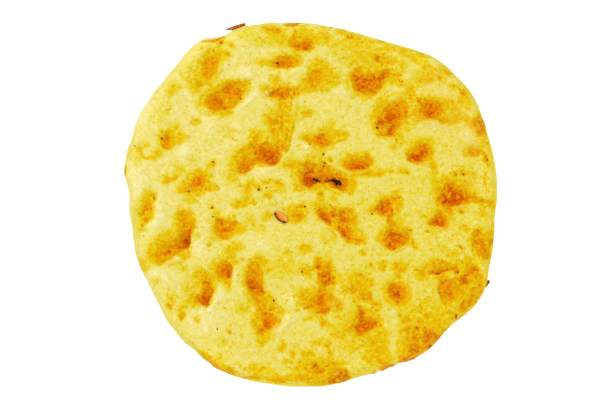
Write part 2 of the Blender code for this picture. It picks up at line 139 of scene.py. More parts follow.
UPPER_RIGHT = (
    (56, 47, 9, 5, 90, 0.45), (76.5, 47, 10, 5, 0, 0.47), (65.5, 13, 5, 4, 90, 0.46),
    (46, 69.5, 5, 4, 0, 0.46), (37, 86.5, 4, 1.2, 0, 0.5), (35.3, 77.3, 3, 2.2, 0, 0.87),
    (39, 75.5, 14, 6, 10, 0.46), (49, 81, 3.5, 3, 0, 0.46), (59.5, 79.5, 6, 1.3, -20, 0.52),
    (60.3, 72, 3.5, 3, 0, 0.47), (69, 67.7, 1.6, 1.4, 0, 0.62), (62.7, 67, 8.5, 6, 0, 0.45),
    (77, 62, 4, 3, 0, 0.46), (81.5, 58.5, 3, 2.5, 90, 0.62), (53.2, 61.5, 1.4, 1.3, 0, 0.62),
    (45, 65.5, 15, 5, -12, 0.46), (53, 58.5, 9, 5, -75, 0.48), (42.5, 47, 25, 18, 60, 0.47),
    (43.6, 46, 20, 12.5, 57, 0.6), (43.6, 47.4, 9, 5, 32, 0.77), (38, 43.7, 6.5, 2.4, 25, 0.77),
    (43.2, 40.5, 10, 4.5, 75, 0.78), (41, 45.5, 8, 3.4, 33, 0.9), (42.6, 39.7, 6, 1.8, 80, 0.86),
    (65, 50, 17, 14, 0, 0.47), (74, 52, 10, 7, -20, 0.46), (74, 43.5, 11, 2.6, 0, 0.46),
    (64.5, 49.7, 11, 10.5, 0, 0.62), (59.5, 54.5, 7, 2.5, -20, 0.6), (71, 44.3, 6, 2.2, -5, 0.6),
    (63.8, 49.8, 7.5, 7.5, 0, 0.78), (63.3, 48.7, 3.2, 3, 0, 0.9), (68.5, 52.7, 1.2, 1, 0, 0.85),
    (90, 41, 12.5, 9, 95, 0.47), (83.5, 45, 9, 3, -15, 0.46), (90.2, 41, 10, 5, 100, 0.62),
    (89.7, 38.2, 1.6, 1.4, 0, 0.76), (58.5, 28, 16.5, 12, 20, 0.47), (65.5, 20, 9, 3, 110, 0.46),
    (58.2, 26.8, 13, 8.5, 22, 0.62), (60, 29.5, 6, 5, 0, 0.62), (57.3, 25.3, 10.5, 4.8, 18, 0.77),
    (60, 27.3, 6.5, 4, 90, 0.75), (55.3, 24.8, 6.5, 2, 28, 0.89), (57.8, 23.8, 1.5, 1, 0, 0.9),
    (36, 16, 7, 3.5, 25, 0.5), (42.5, 17.3, 8, 1.8, -8, 0.46), (50.2, 17, 5.3, 2.6, -10, 0.48),
    (81, 16, 12, 4.5, 0, 0.46), (77.2, 15.2, 1.4, 1.3, 0, 0.66), (81.5, 15.7, 1.7, 1.5, 0, 0.7),
    (86.5, 28, 10.5, 5, 10, 0.47), (92.3, 32, 4.5, 3, 0, 0.46), (87, 27.7, 5.5, 3.6, 15, 0.62),
    (86.8, 26.9, 1.7, 1.4, 0, 0.78), (92.3, 26.8, 4, 1.2, -50, 0.62),
    (93.8, 23.6, 2.5, 1.5, -60, 0.63), (93.7, 23.3, 7, 2.6, 110, 0.47), (93.3, 14, 12, 1, 95, 0.45),
)
LEFT = (
    (-64, -45, 9, 5, 30, 0.42), (-76, -15.5, 5, 3, 20, 0.44), (-61, 11, 16, 11.5, 35, 0.48),
    (-67, 7, 8, 5, 0, 0.46), (-54, 9, 8, 3.5, -15, 0.47), (-53.5, 20.5, 7, 2.5, 50, 0.47),
    (-55, 15.5, 5, 3.5, 60, 0.48), (-60, 12, 7.5, 5.5, 30, 0.62), (-64, 8, 4, 3.5, 130, 0.6),
    (-60, 11.8, 3.6, 3, -10, 0.77), (-50.5, 8, 1.6, 1.4, 0, 0.6), (-72, 15.3, 6, 2, 40, 0.46),
    (-77, 12, 3.5, 3, 90, 0.52), (-74, 13, 3, 1.5, 0, 0.5), (-88.3, -2.5, 19, 7.5, 80, 0.47),
    (-84.8, 3.5, 4.5, 2.5, 100, 0.46), (-88, -1.8, 4.5, 3.5, 0, 0.6),
    (-89.5, -4.3, 4, 1.3, 70, 0.6), (-86.5, -3.5, 3.5, 1.2, 80, 0.6),
    (-88, -8.5, 2.7, 1.8, 90, 0.65), (-91.5, -6, 1.3, 1.2, 0, 0.6), (-67.5, -8, 9, 8, 0, 0.47),
    (-68.5, -16, 17, 9, 80, 0.47), (-77.5, -24, 22, 13, 28, 0.47), (-68.5, -7.5, 4.5, 4, 90, 0.6),
    (-67.5, -17, 15, 6, 75, 0.62), (-63.8, -12.2, 5, 2, 65, 0.63), (-75.5, -25, 17, 7.5, 27, 0.62),
    (-80.5, -28, 9, 5, 70, 0.6), (-66.3, -19, 10.5, 3.2, 82, 0.77),
    (-70.5, -23.2, 11, 3.2, 30, 0.77), (-66.3, -20.5, 6, 2.3, 80, 0.9),
    (-76.3, -26.3, 1.5, 1.4, 0, 0.98), (-69.5, -24, 1.6, 1.2, 0, 0.87), (-68, -27.5, 6, 4, 20, 0.5),
    (-46.5, -13, 13, 12, 0, 0.48), (-38.5, -13.5, 7, 4.5, -10, 0.47), (-50.5, -7, 3, 3, 0, 0.46),
    (-41, -7.5, 3, 1.5, 90, 0.46), (-46.5, -13.3, 9.5, 9, -20, 0.62), (-41, -10.8, 3, 2, 0, 0.6),
    (-48, -10.5, 2.7, 1.5, -10, 0.78), (-46.2, -14.6, 6.5, 2, -5, 0.78),
    (-48, -14.8, 3, 2, 90, 0.81), (-46.6, -35.5, 12.5, 9.6, 90, 0.47), (-51.5, -34, 5, 4, 0, 0.46),
    (-46, -35.8, 9.5, 8, 90, 0.62), (-45.7, -36.3, 6, 5.5, 30, 0.77), (-44, -35, 6, 2.2, 90, 0.77),
    (-44, -38.8, 1.3, 1.1, 0, 0.9), (-44.8, -42, 5, 2.2, 95, 0.5),
    (-44.3, -43.7, 1.5, 1.4, 0, 0.56), (-57.5, -39.5, 12, 6, 0, 0.47),
    (-55.5, -47, 17, 8, 90, 0.47), (-61, -51.5, 12, 6.5, 5, 0.47), (-55.3, -46.5, 12, 5, 100, 0.62),
    (-58, -51.3, 8.5, 5.2, 25, 0.6), (-55.3, -44.8, 7, 2, 125, 0.77), (-55, -49, 7, 4.3, 75, 0.78),
    (-57, -52.3, 5.5, 4, 40, 0.79), (-56.3, -52, 6.5, 2.6, 50, 0.92),
    (-75.7, -55.3, 4, 1.5, 108, 0.6), (-69.3, -60.3, 4.5, 2.4, 70, 0.6),
    (-43.3, -69, 1.5, 1.3, 0, 0.54), (-54.7, -22.3, 1.3, 1, 0, 0.55), (-43, -26.5, 6, 5, 0, 0.46),
    (-38.3, -0.8, 6, 4, 20, 0.48), (-38.7, 0.3, 1.4, 1.2, 0, 0.6), (-34.5, 4.5, 11, 4, 80, 0.46),
    (-38, 9.8, 4, 1, 0, 0.46), (-31, 9.5, 10, 3, 5, 0.46),
)
MIDDLE = (
    (-1, 15, 17, 16, 0, 0.48), (12, 12, 24, 11, -15, 0.48), (21, 10, 10, 7, 90, 0.46),
    (-7, 7.8, 5, 2.5, 0, 0.5), (5.3, 3.7, 5.5, 2.8, 100, 0.47), (5.7, 5, 1.3, 1.2, 0, 0.62),
    (-1, 15, 13, 12, 90, 0.62), (7, 15, 9, 9, 0, 0.62), (14.5, 11.4, 11.5, 7, -25, 0.63),
    (6.5, 20.5, 4, 3, 90, 0.6), (-0.7, 14.5, 11.5, 8, 90, 0.77), (6, 13, 9, 4.5, -15, 0.77),
    (13.7, 11, 10.5, 6, -30, 0.78), (-2.2, 13, 6.5, 3, 110, 0.9), (0, 17.9, 4.7, 1.5, -5, 0.89),
    (0, 11.7, 6, 3.5, 0, 0.93), (6, 12.5, 8, 2.5, -5, 0.9), (13.5, 11, 8.5, 4.5, -30, 0.93),
    (13, 11.5, 6.2, 3.2, -15, 1.08), (2.7, 12.3, 4.6, 2.1, 0, 1.08), (8.3, 11.6, 1.6, 0.8, 0, 1.05),
    (-24, 11.7, 4.5, 2, 30, 0.48), (-17.3, 11, 5.3, 2.4, -12, 0.5), (-23.3, 4, 4, 2.7, -10, 0.5),
    (-23.5, -7.5, 5, 3, 30, 0.47), (-7.5, -6, 10.5, 9, 30, 0.47), (-7.4, -7, 5, 4, 0, 0.61),
    (-5.5, -2, 3, 1.1, 0, 0.61), (-3, -24.8, 6, 4.2, 0, 0.49), (-12.5, -26, 3, 1.5, -15, 0.47),
    (8, -5.5, 18, 9, -40, 0.47), (18, -9, 14, 14, 0, 0.47), (24, -18, 12, 7, -25, 0.47),
    (7.5, -7, 11, 4.5, -50, 0.62), (12.2, -5.8, 6, 3.2, 90, 0.62), (18, -8, 11, 8.5, -10, 0.62),
    (18.5, -15, 11, 6.5, -60, 0.62), (20.5, -18, 5, 4.5, 90, 0.62), (25.7, -20, 4, 1.9, -15, 0.62),
    (7.8, -7.5, 7.5, 2.3, -50, 0.79), (12.3, -6.7, 3.3, 2.4, 95, 0.8),
    (16.8, -7.3, 4.5, 4.3, 90, 0.77), (15.8, -10, 3, 2.2, 60, 0.76),
    (17.3, -15.3, 6.5, 1.9, -55, 0.79), (12.1, -6.8, 1.9, 1.2, 110, 0.95),
    (20, -18.1, 1.8, 1.4, 0, 0.93), (15.2, -13, 0.9, 0.8, 0, 0.9), (27.7, -27, 3, 1.6, -45, 0.5),
    (28.5, 1.7, 2.8, 1.4, 20, 0.48), (-12.5, -35.7, 3, 2, 0, 0.47),
)
RIGHT = (
    (77, 5, 22, 16, 10, 0.47), (70, 10.5, 9, 7, 0, 0.46), (90, 1.5, 12, 4, -10, 0.5),
    (96, -0.8, 4, 3, 90, 0.47), (92, -5, 5, 3, 70, 0.46), (80.2, -4.5, 3.8, 1.8, 0, 0.5),
    (80.2, -4.5, 1.3, 0.9, 0, 0.64), (76, 4, 17, 11, 5, 0.62), (75, 9.5, 5, 4, 90, 0.62),
    (73.7, -3, 6, 4, 90, 0.6), (85, 2.3, 6.5, 3, -5, 0.61), (92.3, 1.2, 6.5, 1.7, -15, 0.62),
    (76, 3.3, 14.5, 7.5, 5, 0.77), (75, 8, 4, 3.5, 90, 0.77), (73.3, -1, 4, 4, 0, 0.77),
    (72, 2.3, 6, 3, 80, 0.89), (78, 4, 7, 5.5, 20, 0.89), (75.3, 1, 6, 2, 0, 0.9),
    (74.3, 7.7, 2.4, 1, 55, 0.91), (71.7, 0.9, 2, 2, 0, 1.04), (68.5, -9, 14, 11, 35, 0.47),
    (61, -6.7, 3.5, 2.3, 0, 0.48), (69.6, -8.7, 8.8, 5, 88, 0.62), (69.6, -9.6, 6, 4, 88, 0.82),
    (66.3, -10.2, 6, 2, -10, 0.77), (68.7, -10.9, 5.6, 2.6, -15, 0.97),
    (62.8, -15, 1.7, 1.4, 0, 0.66), (80.2, -23.8, 1.5, 1.2, 0, 0.7), (51, -6, 3, 0.9, -5, 0.46),
    (41, -1.5, 13, 10.5, 0, 0.48), (46.5, 0, 9, 4.5, 90, 0.46), (33, -3.5, 6, 4.5, 0, 0.46),
    (45.3, 5.5, 3, 3, 0, 0.46), (39.3, -1.8, 7.8, 6.6, 90, 0.62), (45.3, 2.8, 5, 1.4, 8, 0.6),
    (42.7, -6.5, 5, 2.4, 90, 0.58), (42.3, -9.5, 5, 2.3, 85, 0.62),
    (35.7, -4.3, 4.5, 2.2, -10, 0.61), (39.8, -0.3, 5.5, 4.2, 0, 0.77),
    (38.3, -3.7, 5, 3.6, -20, 0.77), (42.3, -2.5, 5.5, 1.6, 100, 0.76),
    (46.2, 3, 1.7, 0.9, 0, 0.78), (39.7, 0.2, 4.2, 2.6, 30, 0.9), (37.7, -2.5, 3.5, 1.3, 85, 0.9),
    (39.5, -3.1, 1.1, 1, 0, 0.93), (38.7, -5, 1.1, 1, 0, 0.92), (45.5, -19, 17, 14, 0, 0.47),
    (50.5, -15.5, 6, 6, 0, 0.46), (37, -18.5, 5, 4.5, 0, 0.47), (54.8, -22.2, 6.5, 2.8, -35, 0.51),
    (46, -11, 7, 5, 90, 0.46), (44, -19, 9.5, 10.5, 10, 0.62), (49.3, -18.2, 7, 5.5, 25, 0.62),
    (43, -13, 6, 3.2, 90, 0.62), (50, -18, 5, 5, 0, 0.61), (43.8, -18, 8.5, 6.5, 70, 0.77),
    (47.5, -20, 6.5, 5.5, 0, 0.77), (43.5, -23, 4, 3, -40, 0.78), (46, -20, 5, 2.6, -10, 0.9),
    (42.3, -21.8, 1.9, 1.6, 90, 0.94), (44.7, -23.7, 1.3, 1.1, 0, 0.9),
    (91, -22, 18, 9.5, 102, 0.47), (96, -16, 4, 3, 90, 0.46), (90.5, -21.5, 15.5, 5.5, 105, 0.62),
    (93, -27, 6.5, 4, 100, 0.62), (89.6, -17.5, 5, 1.7, 100, 0.77),
    (87.7, -21.2, 1.5, 1.4, 0, 0.77), (91.7, -22.3, 4.5, 1.5, 100, 0.77),
    (96, -20.7, 2.4, 1.5, 100, 0.66), (98.5, -11, 1.5, 1, 90, 0.62),
)
BOTTOM = (
    (-26.5, -30.7, 8, 4, -20, 0.5), (35, -55, 7, 4, 90, 0.46), (18, -67, 8, 5, -20, 0.44),
    (36, -82, 14, 10, 0, 0.46), (24, -53, 5, 4, 0, 0.45), (-30.5, -43, 24, 11, 95, 0.47),
    (-30, -42.5, 22, 8.5, 98, 0.62), (-29.7, -44.3, 13, 6, 107, 0.77),
    (-33, -42.8, 3.5, 2, 0, 0.77), (-30.5, -37, 3.5, 1.2, 110, 0.76),
    (-31, -44, 6.5, 3.8, -42, 0.92), (-29, -46.2, 1.2, 1, 0, 0.95), (-25, -54, 12, 10, 90, 0.48),
    (-27.3, -56.5, 1.8, 1.7, 0, 0.61), (-20.7, -56.8, 4.5, 1.8, 15, 0.62),
    (-24, -64, 15, 15, 0, 0.47), (-26, -73, 7, 5, 60, 0.45), (-25, -58.5, 8, 3, 85, 0.61),
    (-22.6, -62.8, 6.8, 7.4, 0, 0.62), (-26.5, -68, 6.5, 2.6, 10, 0.62),
    (-23, -64.2, 4.8, 3.4, -40, 0.77), (-26.3, -67.8, 3, 1, 3, 0.77),
    (-23, -65.3, 3.4, 2.2, -15, 0.96), (-17.3, -62.8, 1.6, 1.2, 10, 0.62),
    (7.3, -38, 20, 11, 95, 0.46), (-2, -36, 8, 6, 0, 0.45), (4.3, -33, 6, 2.8, 90, 0.6),
    (9, -34.7, 6, 3, 90, 0.6), (7.6, -39.8, 9.5, 6, 100, 0.62), (11.8, -41.3, 3.5, 3, 90, 0.58),
    (6.5, -47, 6, 3.5, 90, 0.61), (4.4, -33.8, 3.2, 2.7, 20, 0.79), (7.5, -37.7, 5, 2.4, 10, 0.78),
    (8, -41.5, 4.8, 4.6, 0, 0.78), (4, -34, 1.6, 1.1, 15, 0.92), (6.1, -38.7, 2.1, 1.1, -8, 0.92),
    (9.3, -40.7, 1.1, 0.9, 0, 0.9), (-1, -50.5, 15, 9, 10, 0.47), (4.5, -53.5, 13, 13, 0, 0.47),
    (5.5, -52, 9, 8, 90, 0.62), (0.5, -55, 8.5, 1.8, 18, 0.62), (7, -57.3, 6.5, 3.8, 20, 0.62),
    (9.5, -50.5, 3.5, 3, 90, 0.6), (5.3, -52.5, 6, 3.3, 75, 0.78), (7.5, -57, 5, 2.2, 35, 0.78),
    (5.6, -52.5, 1.1, 1, 0, 0.92), (-5, -56.3, 9.5, 1, 5, 0.5), (13.8, -54.5, 8, 6.5, -20, 0.47),
    (14.6, -54.6, 4.4, 4.6, 0, 0.5), (14.8, -61.3, 3, 2, -20, 0.46), (6.7, -64, 4, 3, 90, 0.49),
    (10.5, -66.5, 5, 1.8, -10, 0.46), (-1, -61.5, 6, 2, 30, 0.46), (26, -42, 12, 9, -20, 0.47),
    (25, -47.5, 15, 5, -15, 0.47), (30, -50, 8, 6, 90, 0.47), (32, -42.5, 4, 4, 0, 0.47),
    (18.5, -47, 4.5, 3, -10, 0.46), (26.8, -39.2, 3, 1.8, -40, 0.6),
    (27.2, -44.4, 1.3, 1.2, 0, 0.61), (22.5, -46.5, 4, 2.6, -10, 0.63),
    (29.7, -49.7, 5, 4, -40, 0.62), (28.5, -65, 20, 17, -30, 0.47), (34.5, -70, 22, 9, 110, 0.46),
    (28.7, -65.5, 13.5, 9, -5, 0.61), (26.3, -58.5, 7, 3.2, 85, 0.61),
    (26.5, -66.7, 5.5, 6, 10, 0.77), (31.3, -65.1, 7.5, 3.2, 12, 0.77),
    (27, -61, 5, 2.5, 105, 0.77), (28, -66.3, 5, 2.2, 110, 0.89), (26.7, -66, 2, 1.6, 0, 0.93),
    (32.6, -65.8, 1.7, 1.3, 70, 0.91), (28.8, -63.5, 2, 1.2, 90, 0.89), (4, -90, 26, 14, -5, 0.47),
    (-2, -80.5, 6.5, 4, 0, 0.48), (10, -81.5, 5.5, 3, 90, 0.46), (14, -85.5, 8, 3, -10, 0.46),
    (3.7, -88.8, 7, 4.5, -35, 0.62), (15, -92, 11, 7, -5, 0.62), (-2.5, -93.6, 4.5, 1.3, 5, 0.6),
    (2.6, -87.3, 3, 2.2, 0, 0.8), (5.3, -89.7, 2.6, 2, 0, 0.8), (17.2, -91.8, 5.7, 4.3, -10, 0.77),
    (11, -95.6, 5.5, 1.7, 22, 0.77), (16.7, -94.3, 3.5, 1, 15, 0.76),
    (-10, -81, 3.3, 2.5, 100, 0.5), (-12, -85, 5, 2, -3, 0.46), (-15, -77, 6, 3, 50, 0.47),
    (-30, -88, 3.6, 2.6, -35, 0.48), (-17, -94.5, 12, 3, 0, 0.46), (-30, -93.3, 7, 2, -3, 0.48),
    (9, -76.5, 4.5, 3, 80, 0.47), (-43, -89.5, 5, 2, -30, 0.52), (-57, -82, 7, 3, -40, 0.48),
)
LOWER_RIGHT = (
    (45.7, -48, 15.5, 13, -15, 0.47), (46, -48.2, 11, 8.5, -45, 0.62),
    (45.3, -47.5, 9, 5.8, -60, 0.77), (46.2, -52.3, 1.8, 1, 90, 0.76),
    (46, -48.7, 6, 3.2, -50, 0.89), (43.3, -46.3, 3, 1, 60, 0.89), (47.5, -33, 9, 3, -5, 0.47),
    (48, -35.5, 7, 4, 0, 0.46), (45.5, -33.7, 1.7, 1.5, 0, 0.6), (38.3, -33.5, 4, 3.3, 90, 0.49),
    (79, -44, 25, 24, 0, 0.5), (73.5, -47, 11.5, 10.5, 90, 0.61), (82, -41.3, 7, 5, 50, 0.61),
    (86.5, -35.8, 6.5, 5, 0, 0.61), (89.5, -40.5, 8, 3, 100, 0.61), (86.3, -49.5, 5, 3, 70, 0.6),
    (82.5, -54.5, 8, 4, 45, 0.61), (74, -47.3, 6, 3.8, 100, 0.77), (70, -42.9, 2, 1, 45, 0.76),
    (82, -41, 5.5, 3.2, 55, 0.78), (87, -35.5, 2.8, 2.2, 0, 0.77), (81.5, -55, 1.3, 1, 0, 0.77),
    (81.7, -41.2, 2.4, 2.2, 90, 0.9), (69.8, -36.2, 11.5, 1.9, 15, 0.79),
    (67.8, -37.2, 2.8, 1, 25, 0.95), (70, -35.5, 14, 4, 15, 0.62), (70.5, -32, 3, 2.2, 0, 0.6),
    (78.2, -37, 1.7, 1.6, 0, 0.87), (60, -37.4, 2, 1.6, -20, 0.67), (60, -37.5, 9, 6, 0, 0.46),
    (67, -34, 15, 7, 5, 0.47), (85, -32, 9, 6, 0, 0.48), (60, -71, 34, 17, 42, 0.5),
    (56, -68.5, 5, 3.5, 80, 0.61), (62.5, -71.5, 9, 6.5, 30, 0.62), (55, -77, 7, 5, 20, 0.62),
    (51, -62.7, 4.7, 3, 0, 0.61), (48.5, -59.9, 1.4, 1.2, 0, 0.65), (58, -58.3, 1.5, 1.2, 0, 0.63),
    (61.7, -60, 1.6, 1, 0, 0.62), (63.3, -61.3, 2.6, 1.3, 10, 0.63),
    (52.3, -67.3, 1.4, 1.2, 0, 0.65), (74.2, -58.2, 1.5, 1.5, 0, 0.65),
    (75, -61.7, 1.5, 1, 90, 0.62), (56.7, -67, 2.2, 1, 20, 0.77), (62.3, -71.5, 5.5, 4, 50, 0.84),
    (61.2, -69.8, 2.6, 2, 0, 0.92), (65.3, -70, 1.7, 1, 0, 0.8), (61, -74, 1.8, 1.5, 0, 0.92),
    (56, -73, 3.2, 2, -10, 0.85), (55, -78.3, 4.8, 3, 10, 0.85), (56.4, -77, 2.6, 1.8, 90, 0.8),
    (67.5, -72, 3.3, 1.3, 45, 0.78), (53.3, -80.5, 1.5, 1, 90, 0.77),
    (77.5, -60, 2.3, 1, 115, 0.84), (40.3, -74, 3, 2.7, 90, 0.46), (36.8, -84.6, 2.3, 1.7, 0, 0.65),
    (33.2, -76, 1.8, 1.6, 0, 0.7), (49.8, -83.5, 7, 2, 30, 0.7), (42, -87.3, 9, 2, 14, 0.68),
    (64, -66, 40, 26, 42, 0.44),
)

# Ledges of crust and scorched edges at the rim and the foot.
RIM_STAINS = (
    (-73.5, 60.5, 8, 4, 45, 0.4), (57, 77, 24, 4, -30, 0.42), (-8, -93, 12, 3, 0, 0.5),
    (-61, 43.5, 4, 3, 0, 0.54), (-89, -34, 3, 6, 15, 0.42), (-82, -41, 3, 3, 0, 0.44),
    (-52.5, 88, 12, 1.6, 9, 0.72), (-43, 84.8, 5, 2, -10, 0.46), (-50.3, -87.4, 26, 1.2, -29, 0.57),
    (-36, -94.2, 8, 1.2, -17, 0.6), (10.7, 23.2, 2.4, 2, 0, 0.66), (-99.9, 17, 6, 1.2, 82, 0.62),
    (-99.9, 15.6, 3, 1, 82, 0.74),
)

# Places between the hollows that are only a little browner than the dough: partly faint browning,
# partly the soft shade of the relief painted in.
FAINT = (
    (-45, 39, 9, 6, -40, 0.33), (-15, -34, 14, 16, 0, 0.32), (-43, 14, 7, 5, -20, 0.35),
    (-18, 8, 9, 5, 0, 0.38), (57, 66, 6, 11, -30, 0.37), (47, 35, 5, 9, 20, 0.44),
    (10, -18, 8, 8, 0, 0.36), (-37, -56, 8, 6, 0, 0.38), (76, -28, 7, 4, 0, 0.42),
    (31.5, -35, 5, 5, -20, 0.36), (20, -76, 10, 8, 0, 0.38), (50, -55, 5, 8, 0, 0.42),
    (-8, 48, 4, 8, 0, 0.36), (-93, 25, 4, 9, 0, 0.34), (-49, -87, 14, 5, -35, 0.38),
    (-26, -90, 16, 6, -10, 0.4), (-32.8, 19.4, 3, 3, 0, 0.66), (13, 67, 6, 8, 0, 0.4),
    (-70, 19, 5, 3, 0, 0.4), (-63, 23, 3, 2, 0, 0.44), (-88, 30.5, 3, 2, 0, 0.38),
    (-44.5, -46, 2.5, 2.5, 0, 0.47), (-91, -13, 4, 4, 0, 0.4), (47, -39, 2.5, 2.5, 0, 0.58),
    (42, 82.5, 6, 3.5, -20, 0.45), (49, 74, 5, 3, 0, 0.43), (-31, 0.5, 2.5, 2.5, 0, 0.54),
    (11, 42, 4, 2.5, 0, 0.42), (-68, -35, 3, 2.5, 0, 0.46), (73, -60.5, 4, 3, 45, 0.5),
    (-61, -62, 2.5, 4, 0, 0.5), (-72.5, 40, 5, 4, -40, 0.41), (-46, 48.5, 6, 4, 0, 0.46),
    (-32.5, -9, 5, 3, 0, 0.42), (-39, -23, 5, 4, 0, 0.46), (-61.5, -17.5, 2.5, 3, 0, 0.42),
    (-41.5, -31.5, 4, 2.5, 0, 0.5), (-24, -36, 4, 3, 0, 0.48), (-74, -51, 2.5, 4, 0, 0.42),
    (-16, -57.5, 3, 3, 0, 0.5), (14, -70.5, 6, 3, 0, 0.47), (3, -74.5, 4, 3, 0, 0.47),
    (30, -76, 5, 3, 0, 0.46), (66, -67, 6, 4, 40, 0.55), (72, -52, 5, 5, 0, 0.54),
    (-73, -32, 7, 2, 10, 0.45), (82, 55, 6, 10, 30, 0.42), (71, 70, 6, 4, -40, 0.45),
    (-64, 1.5, 6, 3, 0, 0.43), (-61.5, 60.5, 4, 3, 0, 0.47), (51.5, 41, 3, 5, 0, 0.46),
    (44.5, 30, 3, 2, 0, 0.46), (12, 2.5, 3, 4, 0, 0.45), (-49, 46, 6, 2, 20, 0.36),
    (-19, 66, 3, 4, 0, 0.45), (25, 15.6, 8, 2, 3, 0.48), (-33, 90, 11, 5, -6, 0.33),
    (-27, 86, 6, 4, 0, 0.34), (15.5, -40.5, 3, 7, 0, 0.42), (-27, -14, 5, 3, 0, 0.42),
    (-53, -19, 3, 2, 0, 0.44), (-46.5, 77.5, 3, 2.5, 0, 0.44), (30.5, 16.2, 6, 3.4, 20, 0.53),
    (-69, -55.5, 5, 2.5, 20, 0.46), (-47, -75, 4, 3, 0, 0.42), (70.5, -23, 3, 2, 0, 0.46),
    (82, -13.5, 6, 2.5, 0, 0.43), (87, 14.5, 3, 4, 0, 0.46),
)

# Thin dark lines under the edges of blisters and at the steep ends of hollows, partly cracks and
# partly painted shade in those crevices, the small dark cores inside hollows, partly painted shade
# where they are deepest, and the brown rings around the larger specks.
CRACKS_AND_SHADE = (
    (65.8, -37.5, 5, 0.9, -10, 0.98), (70.6, -36.6, 6.5, 0.9, 25, 0.98),
    (75.5, -35, 4, 0.8, -8, 0.86), (-66.2, -20.5, 1.2, 7, -12, 0.96),
    (-20.7, 21.3, 3, 1, -12, 0.88), (54, 23.3, 6, 0.8, 8, 0.8), (76, -1, 5, 0.9, 10, 0.8),
    (-55.5, -54.5, 3, 1.2, 40, 0.94), (-26.8, -47, 2, 4, 25, 0.76),
    (-11.2, 35.5, 19, 0.8, 76, 0.62), (-16, 46, 14, 0.8, 94, 0.6), (-13.5, 37, 9, 0.7, 82, 0.62),
    (18.3, -17, 5, 0.9, -45, 0.86), (8.5, -8.5, 6, 0.9, -48, 0.9), (69.3, -48.5, 9, 1.4, 94, 0.72),
    (24, 18.6, 9, 0.8, -2, 0.88), (-20.5, -64.7, 7, 0.8, 33, 0.66),
    (66.8, -11.4, 8, 0.9, -16, 0.82), (37.6, 66.4, 11, 1.1, 45, 0.8), (31, 59.9, 5, 1.1, 5, 0.8),
    (17.4, -16.2, 6, 0.9, -52, 0.88), (-49, -9.4, 3, 0.9, -12, 0.76),
    (-46.8, -12.4, 4, 0.8, -10, 0.78), (-45.4, -14.7, 3.4, 1, 5, 0.8),
    (43.2, -45.4, 3.2, 1.2, 55, 0.84), (46.3, -52.4, 1.4, 1.8, 0, 0.78),
    (-14.5, 73.2, 7, 0.8, 3, 0.76), (26.9, -60.2, 1.2, 6, -4, 0.72),
    (38.4, -3.2, 1.1, 4, -14, 0.86), (-44, -38.6, 1.8, 3.2, -15, 0.86),
    (6, -38.6, 5.4, 0.9, -25, 0.86), (-46.8, 51.5, 3.2, 1.8, 20, 0.82),
    (-1.6, 33.9, 6, 1.4, -8, 0.72), (8.8, 32.2, 4, 1.6, 30, 0.68), (38.5, 36.9, 7, 0.8, -8, 0.68),
    (5.2, -57.6, 3.6, 1, 20, 0.82), (4.9, -52.8, 1.4, 4, 8, 0.84), (-65.6, 6.3, 2.6, 2.3, 0, 0.52),
    (-53.2, -2.3, 2.4, 2.3, 0, 0.46), (-20.2, -52, 2.4, 2.6, 0, 0.5),
    (6.5, 26.3, 2.8, 2.4, 0, 0.52), (-3.6, -1.7, 2.6, 2.2, 0, 0.5), (-28.3, 7.4, 3.2, 2.4, 15, 0.5),
    (-84.2, 2.8, 1.8, 3.2, 20, 0.56), (-48.4, 86.1, 3, 2.2, 0, 0.58),
    (-5.1, -36.6, 2.6, 2.4, 0, 0.5), (70.4, -47, 2.4, 11, 4, 0.66), (63.6, -76.3, 1.6, 1.2, 0, 0.9),
    (-2.8, 15.8, 1.6, 1, 0, 0.95), (1, 16.6, 2, 1, 0, 0.93), (3.6, 14.6, 1.6, 1, 0, 0.95),
    (6.4, 14.6, 1.6, 1, 0, 0.93), (-1.5, 19, 2, 1, 20, 0.88), (8.7, 14.2, 1.6, 1, 20, 0.9),
    (5.3, 17.4, 1.4, 1, 0, 0.78), (2.2, 20.2, 1.6, 1, 0, 0.76), (16.6, 9.4, 2, 1.3, -30, 0.98),
)
STAINS = (
    UPPER_LEFT + UPPER_MIDDLE + UPPER_RIGHT + LEFT + MIDDLE + RIGHT + BOTTOM + LOWER_RIGHT
    + RIM_STAINS + FAINT + CRACKS_AND_SHADE
)
